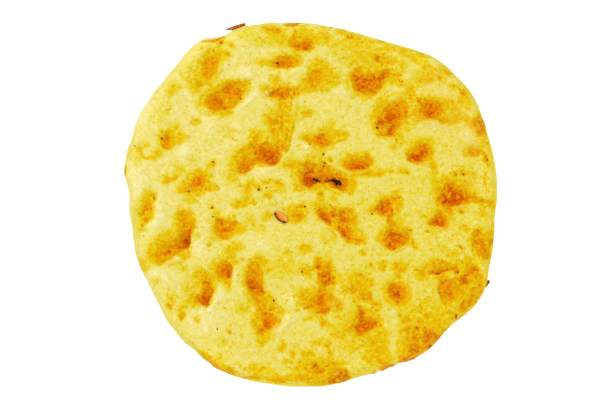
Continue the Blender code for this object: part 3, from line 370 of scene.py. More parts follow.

# Pale torn crumb in and beside the browned places, and painted highlight on lit slopes and humps:
# place, length, width, turn, and how much paler.
CRUMB_AND_HIGHLIGHTS = (
    (-44.5, 55, 3, 2, 0, 0.2), (28.5, 61.5, 2, 1.5, 0, 0.15), (32, 62.5, 2, 1.6, 0, 0.15),
    (38.5, 39.7, 3, 2.6, 0, 0.08), (74, 48.5, 5, 3, 0, 0.06), (-45, -12.3, 2.2, 1.8, 90, 0.2),
    (-45.7, -36, 3, 1.5, 90, 0.1), (1.3, 15.3, 2.6, 1.8, 0, 0.16), (7.3, 14.2, 1.5, 1.5, 0, 0.16),
    (74.2, 4.3, 4, 2.2, 90, 0.16), (39.4, -2.7, 2, 1.6, 90, 0.14), (14.6, -7.4, 1.6, 1.4, 0, 0.2),
    (18, -12.6, 2, 1.7, 90, 0.16), (5, -36, 2, 1.8, 0, 0.16), (8, -51.5, 1.4, 1.3, 0, 0.14),
    (2.7, -54.5, 2, 1.5, 0, 0.14), (75, -38.5, 4, 2.4, 0, 0.2), (-87.5, 28, 6, 3.5, 0, 0.12),
    (73, -60.5, 6, 3, 45, 0.1), (2, 34, 16, 18, 0, 0.06), (10, 26, 8, 8, 0, 0.04),
    (-26.5, 35.5, 12, 6, -60, 0.06), (-25, 22, 7, 4, -20, 0.05), (-70, -18, 6, 12, 0, 0.07),
    (-53.5, -13, 6, 9, 0, 0.09), (-50, -31, 13, 7, 15, 0.06), (-18, 79, 16, 7, 10, 0.06),
    (18, 81, 12, 6, -10, 0.06), (20.5, 62.5, 6, 8, 20, 0.09), (42, 55, 9, 6, 0, 0.06),
    (52, 30, 8, 6, 0, 0.04), (62, 46, 6, 10, 20, 0.03), (82, 13, 8, 12, 0, 0.04),
    (-7, 14, 5, 7, 0, 0.05), (10, 9, 5, 4, 0, 0.05), (19, 17, 5, 10, 0, 0.04),
    (37, -51, 7, 6, 0, 0.05), (22, -62, 6, 6, 0, 0.06), (65, -57, 7, 10, 20, 0.05),
    (-19.8, -67, 6, 4, 0, 0.13), (39, -22, 5, 5, 0, 0.04), (35.5, -2, 3.5, 5, 0, 0.08),
    (6, -6, 4, 5, 0, 0.05), (-63, -45, 9, 7, 0, 0.05), (-82, 30, 5, 10, 15, 0.05),
    (-62, 46, 6, 6, 0, 0.05), (66, -66, 40, 22, 42, 0.05), (30, 76, 30, 12, -15, 0.03),
    (-78, 49, 8, 7, 0, 0.06), (-54, 52, 9, 6, 40, 0.06), (-39, 66, 10, 5, 20, 0.05),
    (44, 55, 6, 7, 0, 0.04), (53, 57, 5, 5, 0, 0.04), (2, -50, 12, 5, 5, 0.05),
    (-46, -38, 8, 7, 0, 0.05), (-33, -36, 5, 8, 0, 0.04), (-26.5, 22, 5, 5, 0, 0.05),
    (-70, -19, 5, 9, 0, 0.05), (-58, 12, 14, 7, -20, 0.05), (-11, 58, 6, 5, 0, 0.04),
    (-64.5, 74, 9, 11, 0, 0.07), (5, 28, 24, 20, 0, 0.02), (45, -18, 24, 16, 0, 0.02),
    (-81, 45, 7, 7, 0, 0.06), (-44.5, 36.5, 6, 5, 0, 0.1), (-28, 64, 4, 4, 0, 0.12),
    (-43, 65, 3, 5, 20, 0.08), (66.5, 40, 8, 5, 0, 0.06), (46.5, 34, 5, 4, 0, 0.09),
    (-10, 30, 6, 3.5, 10, 0.08), (-23.5, 21.7, 5, 2, 0, 0.1), (-6.5, 12.5, 6, 4, 0, 0.07),
    (-27, 14, 5, 6, 0, 0.08), (-83, -37, 9, 9, 0, 0.05), (-26, -44, 2, 10, 10, 0.12),
    (-10, -50, 4, 6, 30, 0.08), (79, -36, 4, 4, 0, 0.08), (74, -64, 8, 5, 45, 0.08),
    (86.5, 8, 4, 8, 30, 0.07), (19.5, -2.5, 4, 3, 0, 0.07), (7, -16, 3, 7, 0, 0.06),
    (-56.5, 60, 5, 3.5, 0, 0.08), (0.5, 38.5, 4, 3, 0, 0.1), (-36.5, 56, 8, 2, 42, 0.1),
    (-86, 12, 5, 7, 0, 0.05), (-32, 6, 4, 3, 0, 0.06), (-26, 87.5, 5, 4, 0, 0.03),
    (-67, 22.5, 13, 5, 0, 0.05), (-10, 71, 5, 4, 0, 0.06), (12, 79, 16, 6, 0, 0.03),
    (25.5, 16.9, 13, 1.5, 2, 0.08), (-41.3, -18, 4, 4, 0, 0.12), (-39.3, -8, 3, 3, 0, 0.1),
    (-44.3, -11.5, 1.6, 1.3, 0, 0.14), (-48.2, -13.3, 1.2, 1.5, 0, 0.12),
    (-43.6, -15.9, 1.6, 1.5, 0, 0.14), (-47.5, -17, 2, 1.2, 0, 0.1), (31.5, -69.3, 6, 3, 10, 0.09),
    (31.5, -60.3, 6, 3, 0, 0.06), (79.5, -1.5, 9, 2, 8, 0.13), (74.3, 4.5, 2.6, 3.4, 0, 0.12),
    (-18, -67.3, 8, 2.4, 33, 0.12), (-27.6, -62, 1.8, 6, 0, 0.09), (45.5, -1.7, 5, 5, 0, 0.09),
    (50.8, -23.8, 5, 2.4, 38, 0.12), (46.5, -21.8, 2, 1.2, -35, 0.16),
    (43.7, -19.6, 1.4, 2, 0, 0.12), (66.2, -13.4, 10, 2.2, -16, 0.14),
    (74.2, -9.5, 1.8, 7, 0, 0.06), (5, -9.5, 9, 2, -50, 0.12), (14, -17.2, 7, 1.8, -52, 0.12),
    (14.2, -7.3, 1.4, 1.1, 0, 0.2), (10.6, -9.9, 2, 1, -45, 0.16), (-10.5, 71.1, 8, 1.6, 10, 0.05),
    (39, 62, 10, 1.8, 46, 0.06), (29.5, 70.8, 7, 3.4, 10, 0.07), (40.5, -43.3, 4, 3, 30, 0.07),
    (-59.8, -46.5, 3.5, 6, 0, 0.07), (-41.2, -37.5, 2, 7, -15, 0.08), (2, -39.5, 2.4, 9, 0, 0.09),
    (14, -34, 2.4, 6, 0, 0.04), (49.3, 43.5, 5, 6, 20, 0.07), (49.5, 51.5, 4, 4, 40, 0.06),
    (-44.8, 54.7, 2.6, 2.2, 0, 0.12), (-41.2, 62, 1.1, 3.6, 10, 0.1), (-47.5, 58, 2, 1.8, 0, 0.08),
    (-25, 20.2, 8, 1.6, -8, 0.1), (-16.3, 24, 2.2, 6, -12, 0.1), (-2.5, 31.6, 7, 2, -8, 0.1),
    (11, 30.5, 6, 2, 20, 0.06), (1.5, 36.6, 7, 1.6, 8, 0.06), (8.8, -54.3, 1.8, 3, 0, 0.1),
    (66.6, -46.5, 2, 12, 4, 0.1), (-18.3, -60.5, 3, 3, 0, 0.08), (2.5, 18, 1.5, 1.2, 0, 0.14),
    (4.5, 16, 1.5, 1.2, 0, 0.12), (-2.5, 17.2, 1.4, 1.2, 0, 0.12), (0.5, 20.5, 1.6, 1.2, 0, 0.12),
    (7.5, 18, 1.6, 1.6, 0, 0.1), (10, 15.6, 1.5, 1.2, 0, 0.1), (-6.3, 87.2, 4, 1.5, -20, 0.1),
    (-31, 16.6, 5, 1.6, 10, 0.1),
)

# Pale ridges of dough beside the hollows, where the crust stayed cream and is painted paler still
# as highlight: the same columns.
RIDGES = (
    (-33, 56, 14, 3.5, 47, 0.14), (-36, 69.5, 10, 7, 0, 0.16), (-47, 74.5, 12, 3.5, 52, 0.14),
    (-58, 50, 9, 4.5, 0, 0.18), (-9, 71, 5, 3, 0, 0.14), (-50, 42, 22, 8, -8, 0.1),
    (47, 61.5, 8, 4, 0, 0.09), (44, 56.5, 7, 3, 20, 0.12), (64.5, 43.5, 8, 4, -10, 0.2),
    (84, 36, 9, 7, 0, 0.11), (15, 60, 16, 3.5, -12, 0.12), (-1, 31, 5, 3, 0, 0.12),
    (-25, 19, 8, 4, 0, 0.15), (12, 8.5, 9, 2.5, -33, 0.14), (29, 8, 12, 5, 0, 0.08),
    (-68, 28, 10, 9, 90, 0.11), (-53.5, 17.5, 4, 3, 60, 0.15), (-82, -6, 18, 6, 80, 0.14),
    (-73, -30, 8, 4.5, 40, 0.2), (-82, -39, 16, 8, -15, 0.13), (-60, -23, 15, 7, 110, 0.12),
    (-58, -62, 18, 15, 0, 0.13), (-52, -53, 11, 5, 60, 0.18), (-41.5, -37, 7, 2.5, 80, 0.14),
    (-46, -48, 12, 8, 0, 0.08), (-15, -65, 16, 5, 40, 0.17), (-11, -52, 9, 6, 0, 0.12),
    (-93, 12, 24, 9, 95, 0.12), (-91, 48, 26, 7, 62, 0.12), (48, -25, 13, 4, 8, 0.11),
    (-30, -21, 16, 9, 0, 0.07), (-86, -50, 24, 7, 122, 0.1), (-9, 37, 4, 4, 0, 0.1),
    (-24, 38.5, 9, 4, -50, 0.1), (-46, -6.5, 5, 4, 0, 0.13), (33, -68, 6, 4, 0, 0.1),
)

# Places where the crust is a little pinker: the same columns, with how much at the end. Where it
# is browned past the first of these tones, this share of the pink is lost by the second.
BLUSHES = (
    (14.0, -54.0, 7.5, 5.5, 25, 1.0), (-67.0, -27.5, 3.5, 2.5, 0, 0.9),
    (83.0, 38.0, 16.0, 26.0, 20, 0.55), (65.0, 42.0, 22.0, 8.0, -15, 0.5),
    (70.0, 62.0, 24.0, 12.0, -45, 0.35), (86.0, 15.0, 8.0, 10.0, 0, 0.35),
    (57.0, -46.0, 9.0, 6.0, 0, 0.3), (-92.0, -35.0, 8.0, 20.0, 20, 0.3),
)
BLUSH_TONES = (0.42, 0.6)
BLUSH_LOST = 0.8

# How a browned place fades: the rise inside its edge, the fall for each millimetre outside it
# when its tone is this one, how much faster that is for a thin place and on the side of the steep
# walls, where that side lies, and how sharply the darkest of the places that overlap wins.
STAIN_DOME = 0.06
STAIN_FALL = 0.28
FALL_TONE = 0.75
THIN_WIDTH = 1.0
STEEP_SHARE = 0.5
STEEP_BEARING = math.radians(-40)
STAIN_CONTEST = 8
NEXT_TO_NOTHING = 1e-9

# How a pale or a pink place fades from its middle to its edge and past it.
PALE_FALL = 0.9
PALE_POWER = 3

# Tones past the held one keep this share of their rise. The ground between the places has this
# tone, with what it gains for each millimetre across and up, and never falls below its least.
TONE_HELD = 0.62
HELD_SHARE = 0.70
# The ground grows darker to the right and downward, partly as painted shade away from the light.
GROUND = (0.245, 0.0007, -0.0004)
GROUND_LEAST = 0.02

# How far the edges of the places wander, as width and reach in millimetres, with the seeds of the
# noise across and up, and how far apart two seeds lie.
WANDERS = ((5.0, 0.9), (2.4, 0.6), (1.2, 0.2))
WANDER_SEEDS = (1, 5)
SEED_STEP = 17.3

# The side turns into the top between these heights in millimetres. It is golden, more so to the
# right and to the front, partly as painted shade away from the light, in waves of these widths,
# strengths and seeds.
TOP_HEIGHTS = (4.0, 9.0)
SIDE_HEIGHTS = TOP_HEIGHTS[::-1]
SIDE_SHARE = 0.9
GOLDEN_TONE = 0.42
GOLDEN_SLOPE = 0.0022
GOLDEN_TO_RIGHT = 0.5
GOLDEN_WAVES = ((7.0, 0.22, 33), (2.8, 0.12, 34))

# The scorched edge of the foot, and the underside before the patches that its finish adds, with
# the heights in millimetres between which each sets in.
FOOT_TONE = 0.80
FOOT_HEIGHTS = (2.8, 0.5)
HEARTH_TONE = 0.45
HEARTH_HEIGHTS = (0.35, 0.15)

# Where the rim stands further out or in than the plain loaf's, as hands left it: bearing and
# width in degrees, and how far in millimetres. Points this many millimetres from the middle
# start to move, and those at the second distance move all the way.
RIM_SHIFTS = (
    (-174, 9, -1.2), (-150, 10, -1.1), (-136, 9, -0.6), (-124, 9, -1.7), (-106, 9, -0.9),
    (-76, 5, -0.8), (-62, 6, -1.6), (-51, 5, 0.7), (-40, 5, -0.7), (48, 6, 0.9), (72, 11, 0.6),
    (112, 5, 0.4), (119, 4, -1.4), (125, 6, 2.6), (143, 8, -1.9), (160, 6, -1.1), (177, 4, -1.8),
)
SHIFTED_FROM = (45.0, 95.0)

# Relief finer than the fingertips left, in millimetres: width and height of each kind, with the
# first seed of its noise. The rolls are all over, and the torn grain is in the browned hollows.
SKIN_ROLLS = ((7.5, 0.18), (3.6, 0.15), (1.9, 0.12))
ROLL_SEED = 11
TORN_GRAIN = ((2.6, 0.7), (1.5, 0.45))
TORN_SEED = 21

# A hollow sinks and tears from the first of these tones, fully by the second. It sinks by so many
# millimetres, and a ridge rises by so many for each whole tone that it is paler.
SUNK_TONES = (0.42, 0.85)
HOLLOW_SINK = 1.1
RIDGE_RISE = 3.5

# Where a flake of husk lies in the skin, how wide its bed is and how deep.
HUSK_PLACE = (-16.3, -7.0)
HUSK_BED = 6.0
HUSK_BED_DEPTH = 1.0

# Where the light comes from, and which share of it is the sun's. A hollow shades its crust by so
# much for each millimetre of its depth, down to the deepest that counts. The depth is told from
# an evened copy of the loaf.
SUNWARD = Vector((-0.62, 0.55, 1.0)).normalized()
SUN_SHARE = 0.34
HOLLOW_SHADE = 0.045
HOLLOW_DEEPEST = 4
EVENING_ROUNDS = 60

# The crust's colours were read off with the shade in them, so painted light makes it brighter
# where a slope or a hollow shades it, within these limits. The rim keeps part of its own shade.
# It is told by its millimetres from the outline, which is measured in this many bearings.
BRIGHTENED = (0.95, 1.3)
RIM_DEPTH = (1.0, 8.0)
RIM_SHARE = 0.5
BEARINGS = 180

# The shaded rim has its shade painted in as browning, up to this much shade. The sunlit rim gets
# painted shade against the glow of the pale floor, between these depths and from this much light.
RIM_PAINTED_SHADE = 0.2
RIM_SHADE = 0.5
RIM_DULLED = 0.16
DULLED_DEPTH = (6.0, 0.5)
DULLED_LIGHT = (0.68, 0.80)


def deselect_all():
    bpy.ops.object.select_all(action="DESELECT")


def make_active(made):
    deselect_all()
    made.select_set(True)
    bpy.context.view_layer.objects.active = made


def apply_modifiers(made):
    """Applies every modifier of a piece, in order."""
    make_active(made)
    for modifier in list(made.modifiers):
        bpy.ops.object.modifier_apply(modifier=modifier.name)


def copy_of_node(node, name):
    """The CAD node's own mesh as a new piece, with its loose triangles merged."""
    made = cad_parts[node].copy()
    made.data = made.data.copy()
    made.name = made.data.name = name
    made.parent = None
    for key in list(made.keys()):
        del made[key]
    bpy.context.scene.collection.objects.link(made)
    make_active(made)
    bpy.ops.object.mode_set(mode="EDIT")
    bpy.ops.mesh.select_all(action="SELECT")
    bpy.ops.mesh.remove_doubles(threshold=MERGE_DISTANCE)
    bpy.ops.object.mode_set(mode="OBJECT")
    made.data.materials.clear()
    return made


def renew_skin(made, voxel):
    """Gives the piece one even skin, with faces of about this size."""
    remesh = made.modifiers.new("even skin", "REMESH")
    remesh.mode = "VOXEL"
    remesh.voxel_size = voxel
    apply_modifiers(made)


def smooth_out(made, factor, rounds):
    smoothing = made.modifiers.new("smooth out", "SMOOTH")
    smoothing.factor = factor
    smoothing.iterations = rounds
    apply_modifiers(made)


def points_of(made):
    """The piece's points as rows of x, y and z in metres."""
    numbers = np.empty(len(made.data.vertices) * 3)
    made.data.vertices.foreach_get("co", numbers)
    return numbers.reshape(-1, 3)


def set_points(made, places):
    made.data.vertices.foreach_set("co", places.ravel())
    made.data.update()


def paint(made, name, values):
    """Keeps one number for each point of the piece, for its material to read."""
    layer = made.data.attributes.new(name, "FLOAT", "POINT")
    layer.data.foreach_set("value", np.asarray(values, dtype=np.float32))


def ease(values, low, high):
    """Nothing at low, one at high, and smooth in between."""
    share = np.clip((values - low) / (high - low), 0, 1)
    return share * share * (3 - 2 * share)


def waves(places, width, seed):
    """Smooth noise of this width, from -1 to 1, at rows of x, y and z in millimetres."""
    apart = Vector((0, 0, seed * SEED_STEP))
    return np.array([noise.noise(Vector(place) + apart) for place in places / width])


def stain_share(row, x, y):
    """How far each point lies from the middle of a row's place: as a share of the way to its edge,
    in millimetres, and how much of that is towards the steep side."""
    centre_x, centre_y, length, width, turn = row[:5]
    turned = math.radians(turn)
    away_x = x - centre_x
    away_y = y - centre_y
    along = (away_x * math.cos(turned) + away_y * math.sin(turned)) / (length / 2)
    across = (away_y * math.cos(turned) - away_x * math.sin(turned)) / (width / 2)
    distance = np.maximum(np.hypot(away_x, away_y), NEXT_TO_NOTHING)
    steep = (away_x * math.cos(STEEP_BEARING) + away_y * math.sin(STEEP_BEARING)) / distance
    return np.maximum(np.hypot(along, across), NEXT_TO_NOTHING), distance, steep


def stain_tone(row, x, y):
    """How browned each point is by one browned place."""
    share, distance, steep = stain_share(row, x, y)
    width = row[3]
    edge = row[5]
    fall = STAIN_FALL * (edge / FALL_TONE) ** 2 * (1 + THIN_WIDTH / width) * (1 + STEEP_SHARE * steep)
    faded = edge - fall * distance * (1 - 1 / share)
    return np.where(share < 1, edge + STAIN_DOME * (1 - share ** 2), np.maximum(0, faded))


def soft_spots(rows, x, y):
    """What all the rows add up to at each point, each most at its middle and fading from there."""
    total = np.zeros(len(x))
    for row in rows:
        share = stain_share(row, x, y)[0]
        strength = row[-1]
        total += strength * np.exp(-PALE_FALL * share ** PALE_POWER)
    return total


loaf = copy_of_node("flatbread", "loaf")
renew_skin(loaf, LOAF_VOXEL)
smooth_out(loaf, LOAF_SOFTENING, SOFTENING_ROUNDS)

# The flat underside needs few faces.
flat_points = np.flatnonzero(points_of(loaf)[:, 2] < UNDERSIDE_HEIGHT)
underside = loaf.vertex_groups.new(name="underside")
underside.add([int(number) for number in flat_points], 1.0, "ADD")
thin = loaf.modifiers.new("plain underside", "DECIMATE")
thin.ratio = FACES_KEPT
thin.vertex_group = underside.name
apply_modifiers(loaf)
loaf.vertex_groups.clear()

# The rim is uneven.
shape = points_of(loaf)
degrees = np.degrees(np.arctan2(shape[:, 1], shape[:, 0]))
from_middle = np.hypot(shape[:, 0], shape[:, 1]) / MM
moved_out = np.zeros(len(shape))
for rim_bearing, width, reach in RIM_SHIFTS:
    turned_off = (degrees - rim_bearing + 180) % 360 - 180
    moved_out += reach * np.exp(-(turned_off / width) ** 2)
outward = 1 + moved_out * ease(from_middle, *SHIFTED_FROM) / np.maximum(from_middle, 1)
shape[:, :2] *= outward[:, None]
from_middle *= outward

# Each point's place as it is read off the photograph, and the same gone a little astray.
from_aim = shape - np.array(aim)
share_off = CAMERA_DISTANCE / (CAMERA_DISTANCE - from_aim @ np.array(away)) / PIXEL
seen_x = from_aim[:, 0] * share_off + READ_MIDDLE[0]
seen_y = from_aim @ np.array(picture_up) * share_off + READ_MIDDLE[1]
read = np.stack([seen_x * READ_PIXEL, seen_y * READ_PIXEL, shape[:, 2] / MM], axis=1)
wandered = read.copy()
for number, (width, reach) in enumerate(WANDERS):
    wandered[:, 0] += reach * waves(read, width, number + WANDER_SEEDS[0])
    wandered[:, 1] += reach * waves(read, width, number + WANDER_SEEDS[1])
across, up, height = wandered.T

# How browned the top is, with the shade of its hollows painted in, and how much paler its ridges
# and crumb are, partly as painted highlight.
browned = np.maximum(GROUND[0] + GROUND[1] * across + GROUND[2] * up, GROUND_LEAST) ** STAIN_CONTEST
for stain in STAINS:
    browned += stain_tone(stain, across, up) ** STAIN_CONTEST
browned = browned ** (1 / STAIN_CONTEST)
ridge = soft_spots(RIDGES, across, up)
browned -= ridge + soft_spots(CRUMB_AND_HIGHLIGHTS, across, up)
browned = np.where(browned > TONE_HELD, TONE_HELD + (browned - TONE_HELD) * HELD_SHARE, browned)

# How much light each point gets, and how much painted light brightens its crust for that, with
# painted shade on the sunlit rim.
facing_up = ease(height, *TOP_HEIGHTS)
normals = np.empty(len(shape) * 3)
loaf.data.vertices.foreach_get("normal", normals)
facing_sun = normals.reshape(-1, 3) @ np.array(SUNWARD) / SUNWARD.z
bearing = np.minimum(((degrees / 360 + 0.5) * BEARINGS).astype(int), BEARINGS - 1)
outline = np.zeros(BEARINGS)
np.maximum.at(outline, bearing, from_middle)
from_outline = outline[bearing] - from_middle
off_rim = ease(from_outline, *RIM_DEPTH)
evened = loaf.copy()
evened.data = loaf.data.copy()
bpy.context.scene.collection.objects.link(evened)
smooth_out(evened, 1.0, EVENING_ROUNDS)
depth = np.maximum((points_of(evened) - shape)[:, 2] / MM, 0)
bpy.data.objects.remove(evened)
in_hollow = 1 - HOLLOW_SHADE * np.minimum(depth, HOLLOW_DEEPEST)
light = (1 - SUN_SHARE + SUN_SHARE * facing_sun) * in_hollow
helped = facing_up * (RIM_SHARE + (1 - RIM_SHARE) * off_rim)
brighter = 1 + helped * (np.clip(1 / light, *BRIGHTENED) - 1)
brighter *= 1 - RIM_DULLED * ease(from_outline, *DULLED_DEPTH) * ease(light, *DULLED_LIGHT)
# The rim's own shade is painted in as browning.
browned += RIM_PAINTED_SHADE * (1 - off_rim) * np.clip(1 - light, 0, RIM_SHADE)

# The skin rolls gently, the browned hollows are sunk and torn, and the ridges stand up.
sunk = ease(browned, *SUNK_TONES)
lift = RIDGE_RISE * ridge - HOLLOW_SINK * sunk
for seed, (width, reach) in enumerate(SKIN_ROLLS, ROLL_SEED):
    lift += reach * waves(read, width, seed)
for seed, (width, reach) in enumerate(TORN_GRAIN, TORN_SEED):
    lift += reach * sunk * waves(read, width, seed)
from_husk = np.hypot(read[:, 0] - HUSK_PLACE[0], read[:, 1] - HUSK_PLACE[1])
lift -= HUSK_BED_DEPTH * np.exp(-(from_husk / HUSK_BED) ** 2)
shape[:, 2] += facing_up * lift * MM
shape[:, 2] = np.minimum(shape[:, 2], cad_box[1][2])
set_points(loaf, shape)

# The side is golden, and the foot and the underside are browned in patches by the hot floor.
golden = GOLDEN_TONE + GOLDEN_SLOPE * (across * GOLDEN_TO_RIGHT - up)
for width, reach, seed in GOLDEN_WAVES:
    golden += reach * waves(read, width, seed)
hearth = ease(height, *HEARTH_HEIGHTS)
browned += SIDE_SHARE * ease(height, *SIDE_HEIGHTS) * (golden - browned)
browned += ease(height, *FOOT_HEIGHTS) * (FOOT_TONE - browned)
browned += hearth * (HEARTH_TONE - browned)
blush = soft_spots(BLUSHES, across, up) * (1 - BLUSH_LOST * ease(browned, *BLUSH_TONES))
paint(loaf, "browned", browned)
paint(loaf, "torn", sunk * facing_up)
paint(loaf, "brighter", brighter)
paint(loaf, "blush", blush)
paint(loaf, "hearth", hearth)


class Socket:
    """A shader value that Python's own signs work on."""

    def __init__(self, finish, output):
        self.finish = finish
        self.output = output

    def _math(self, operation, *values):
        return self.finish.node("ShaderNodeMath", {"operation": operation}, values)

    def __add__(self, other):
        return self._math("ADD", self, other)

    def __radd__(self, other):
        return self._math("ADD", other, self)

    def __sub__(self, other):
        return self._math("SUBTRACT", self, other)

    def __rsub__(self, other):
        return self._math("SUBTRACT", other, self)

    def __mul__(self, other):
        return self._math("MULTIPLY", self, other)

    def __rmul__(self, other):
        return self._math("MULTIPLY", other, self)

    def __truediv__(self, other):
        return self._math("DIVIDE", self, other)

    def __rtruediv__(self, other):
        return self._math("DIVIDE", other, self)

    def at_most(self, other):
        return self._math("MINIMUM", self, other)

    def between(self, low, high):
        """Nothing at low, one at high, and smooth in between."""
        settings = {"interpolation_type": "SMOOTHSTEP"}
        values = {"Value": self, "From Min": low, "From Max": high}
        return self.finish.node("ShaderNodeMapRange", settings, values)


# A Mix node has sockets for each kind of value, and these are the ones for colours.
MIX_COLOURS = (6, 7)
MIX_RESULT = 2


class Finish:
    """A new material and the one way its nodes are made."""

    def __init__(self, name):
        self.material = bpy.data.materials.new(name)
        self.material.use_nodes = True
        self.tree = self.material.node_tree
        self.shader = self.tree.nodes["Principled BSDF"]
        coordinates = self.tree.nodes.new("ShaderNodeTexCoord")
        self.place = Socket(self, coordinates.outputs["Object"])

    def node(self, kind, settings, values, output=0):
        made = self.tree.nodes.new(kind)
        for name, value in settings.items():
            if name == "stops":
                ramp = made.color_ramp
                while len(ramp.elements) < len(value):
                    ramp.elements.new(1.0)
                for stop, (place, colour) in zip(ramp.elements, value):
                    stop.position = place
                    stop.color = (*colour, 1.0)
            else:
                setattr(made, name, value)
        pairs = values.items() if isinstance(values, dict) else enumerate(values)
        for key, value in pairs:
            self.feed(made.inputs[key], value)
        return Socket(self, made.outputs[output])

    def feed(self, entry, value):
        if isinstance(value, Socket):
            self.tree.links.new(value.output, entry)
        else:
            entry.default_value = value

    def attribute(self, name):
        return self.node("ShaderNodeAttribute", {"attribute_name": name}, (), "Fac")

    def noise(self, size, detail=2.0, roughness=0.5, apart=0.0, shown=None):
        """Soft noise from 0 to 1 whose features are about this size. Noises that are given
        different distances apart have nothing to do with each other. Where its limits are given,
        a noise shows from the first of them, fully by the second."""
        places = (self.place, (apart, 0.0, 0.0))
        values = {
            "Vector": self.node("ShaderNodeVectorMath", {"operation": "ADD"}, places),
            "Scale": 1 / size, "Detail": detail, "Roughness": roughness,
        }
        made = self.node("ShaderNodeTexNoise", {}, values)
        return made.between(*shown) if shown else made

    def mix(self, share, first, second):
        made = self.tree.nodes.new("ShaderNodeMix")
        made.data_type = "RGBA"
        self.feed(made.inputs["Factor"], share)
        for place, value in zip(MIX_COLOURS, (first, second)):
            self.feed(made.inputs[place], value if isinstance(value, Socket) else (*value, 1.0))
        return Socket(self, made.outputs[MIX_RESULT])

    def scale(self, tone, colours):
        """A colour for each tone, with the stops of the scale given in tones."""
        last = colours[-1][0]
        stops = tuple((stop / last, colour) for stop, colour in colours)
        return self.node("ShaderNodeValToRGB", {"stops": stops}, (tone / last,))

    def bumps(self, height, distance, strength):
        values = {"Height": height, "Distance": distance, "Strength": strength}
        made = self.node("ShaderNodeBump", {}, values, "Normal")
        self.feed(self.shader.inputs["Normal"], made)

    def cover(self, made, colour, roughness, gloss):
        """Puts the finish on a piece, in this colour, with how rough and how glossy it is."""
        self.feed(self.shader.inputs["Base Color"], colour)
        self.shader.inputs["Roughness"].default_value = roughness
        self.shader.inputs["Specular IOR Level"].default_value = gloss
        made.data.materials.append(self.material)
        made.data.shade_smooth()


# From cream through golden and brown to char, as the crust looks under this light.
LIGHT_ON_TOP = 1.15
CRUST_SEEN = (
    (0.0, (0.970, 0.880, 0.450)),
    (0.12, (0.915, 0.795, 0.250)),
    (0.24, (0.868, 0.742, 0.162)),
    (0.38, (0.832, 0.662, 0.034)),
    (0.45, (0.825, 0.606, 0.005)),
    (0.52, (0.820, 0.538, 0.0)),
    (0.66, (0.825, 0.390, 0.0)),
    (0.80, (0.800, 0.265, 0.0)),
    (0.92, (0.680, 0.140, 0.0)),
    (1.05, (0.520, 0.085, 0.0015)),
    (1.25, (0.045, 0.013, 0.0048)),
)
BLUSH_SEEN = (0.90, 0.50, 0.12)
BLUSH_SHARE = 0.6

# How far each pattern of the crust moves its tone: all over, and how much more or less where the
# crust is torn, half browned or patchy.
MOTTLING = 0.5
GRAINING = 0.5
GRAINING_TORN = 0.45
GRAINING_HALF_BROWNED = 0.1
CLOTTING_TORN = 0.45
FLECKING = 0.04
FLECKING_PATCHY = 0.11
DOTTING = 0.16
DOTTING_PATCHY = 0.16
DOTTING_TORN = -0.1
PALE_FLECKING = -0.10
HEARTH_PATCHES = 0.32
HEARTH_BLISTERS = 0.22

# Crust counts as half browned from between the first pair of tones, and this share of that is
# lost again between the second pair.
HALF_FROM = (0.32, 0.5)
HALF_TO = (0.6, 0.8)
HALF_LOST = 0.6

# How much past its painted tone the crust may darken: where it is torn, and how much more where
# it is whole.
DARKER_TORN = 0.12
DARKER_WHOLE = 0.4

# The bumps of the torn crumb, of the crust all over and of its mottling.
TORN_BUMPS = 0.6
FINE_BUMPS = 0.5
MOTTLED_BUMPS = 0.4


def without_light(colour):
    """The crust's own colour, from how it looks under this light."""
    return tuple(part / LIGHT_ON_TOP for part in colour)


crust = Finish("baked crust")
torn = crust.attribute("torn")
painted = crust.attribute("browned")

# Mottling, grit and clots move the tone both ways, and so start from the middle of their noise.
mottle = crust.noise(2.6 * MM, detail=3.0, roughness=0.66) - 0.5
grit = crust.noise(1.6 * MM, detail=3.0, roughness=0.7, apart=3.1) - 0.5
clots = crust.noise(3.2 * MM, roughness=0.55, apart=4.7) - 0.5
patches = crust.noise(14.0 * MM, detail=1.0, apart=1.7, shown=(0.35, 0.65))
flecks = crust.noise(2.6 * MM, roughness=0.55, apart=5.2, shown=(0.56, 0.64))
dots = crust.noise(1.3 * MM, detail=1.0, apart=7.9, shown=(0.65, 0.71))
pale_flecks = crust.noise(3.0 * MM, roughness=0.6, apart=9.1, shown=(0.6, 0.74))
patched = crust.noise(17.0 * MM, detail=3.0, roughness=0.55, apart=2.6, shown=(0.44, 0.62))
blistered = crust.noise(5.5 * MM, apart=6.3, shown=(0.55, 0.66))
half_browned = painted.between(*HALF_FROM) - painted.between(*HALF_TO) * HALF_LOST
tone = (
    painted
    + crust.attribute("hearth") * (patched * HEARTH_PATCHES + blistered * HEARTH_BLISTERS)
    + mottle * MOTTLING
    + grit * (half_browned * GRAINING_HALF_BROWNED + torn * GRAINING_TORN + GRAINING)
    + clots * torn * CLOTTING_TORN
    + flecks * (patches * FLECKING_PATCHY + FLECKING)
    + dots * (patches * DOTTING_PATCHY + torn * DOTTING_TORN + DOTTING)
    + pale_flecks * PALE_FLECKING
)
darkest = painted + (1 - torn) * DARKER_WHOLE + DARKER_TORN
crust_scale = tuple((place, without_light(colour)) for place, colour in CRUST_SEEN)
baked = crust.scale(tone.at_most(darkest), crust_scale)
blotched = crust.noise(2.2 * MM, roughness=0.6, apart=8.3, shown=(0.38, 0.62))
pink = crust.attribute("blush") * blotched * BLUSH_SHARE
pinker = crust.mix(pink, baked, without_light(BLUSH_SEEN))
lit = {"Vector": pinker, "Scale": crust.attribute("brighter")}
bright = crust.node("ShaderNodeVectorMath", {"operation": "SCALE"}, lit)
fine = crust.noise(0.7 * MM, roughness=0.6)
relief = fine * (torn * TORN_BUMPS + FINE_BUMPS) + mottle * MOTTLED_BUMPS
crust.bumps(relief, distance=0.6 * MM, strength=0.8)
crust.cover(loaf, bright, roughness=0.7, gloss=0.04)

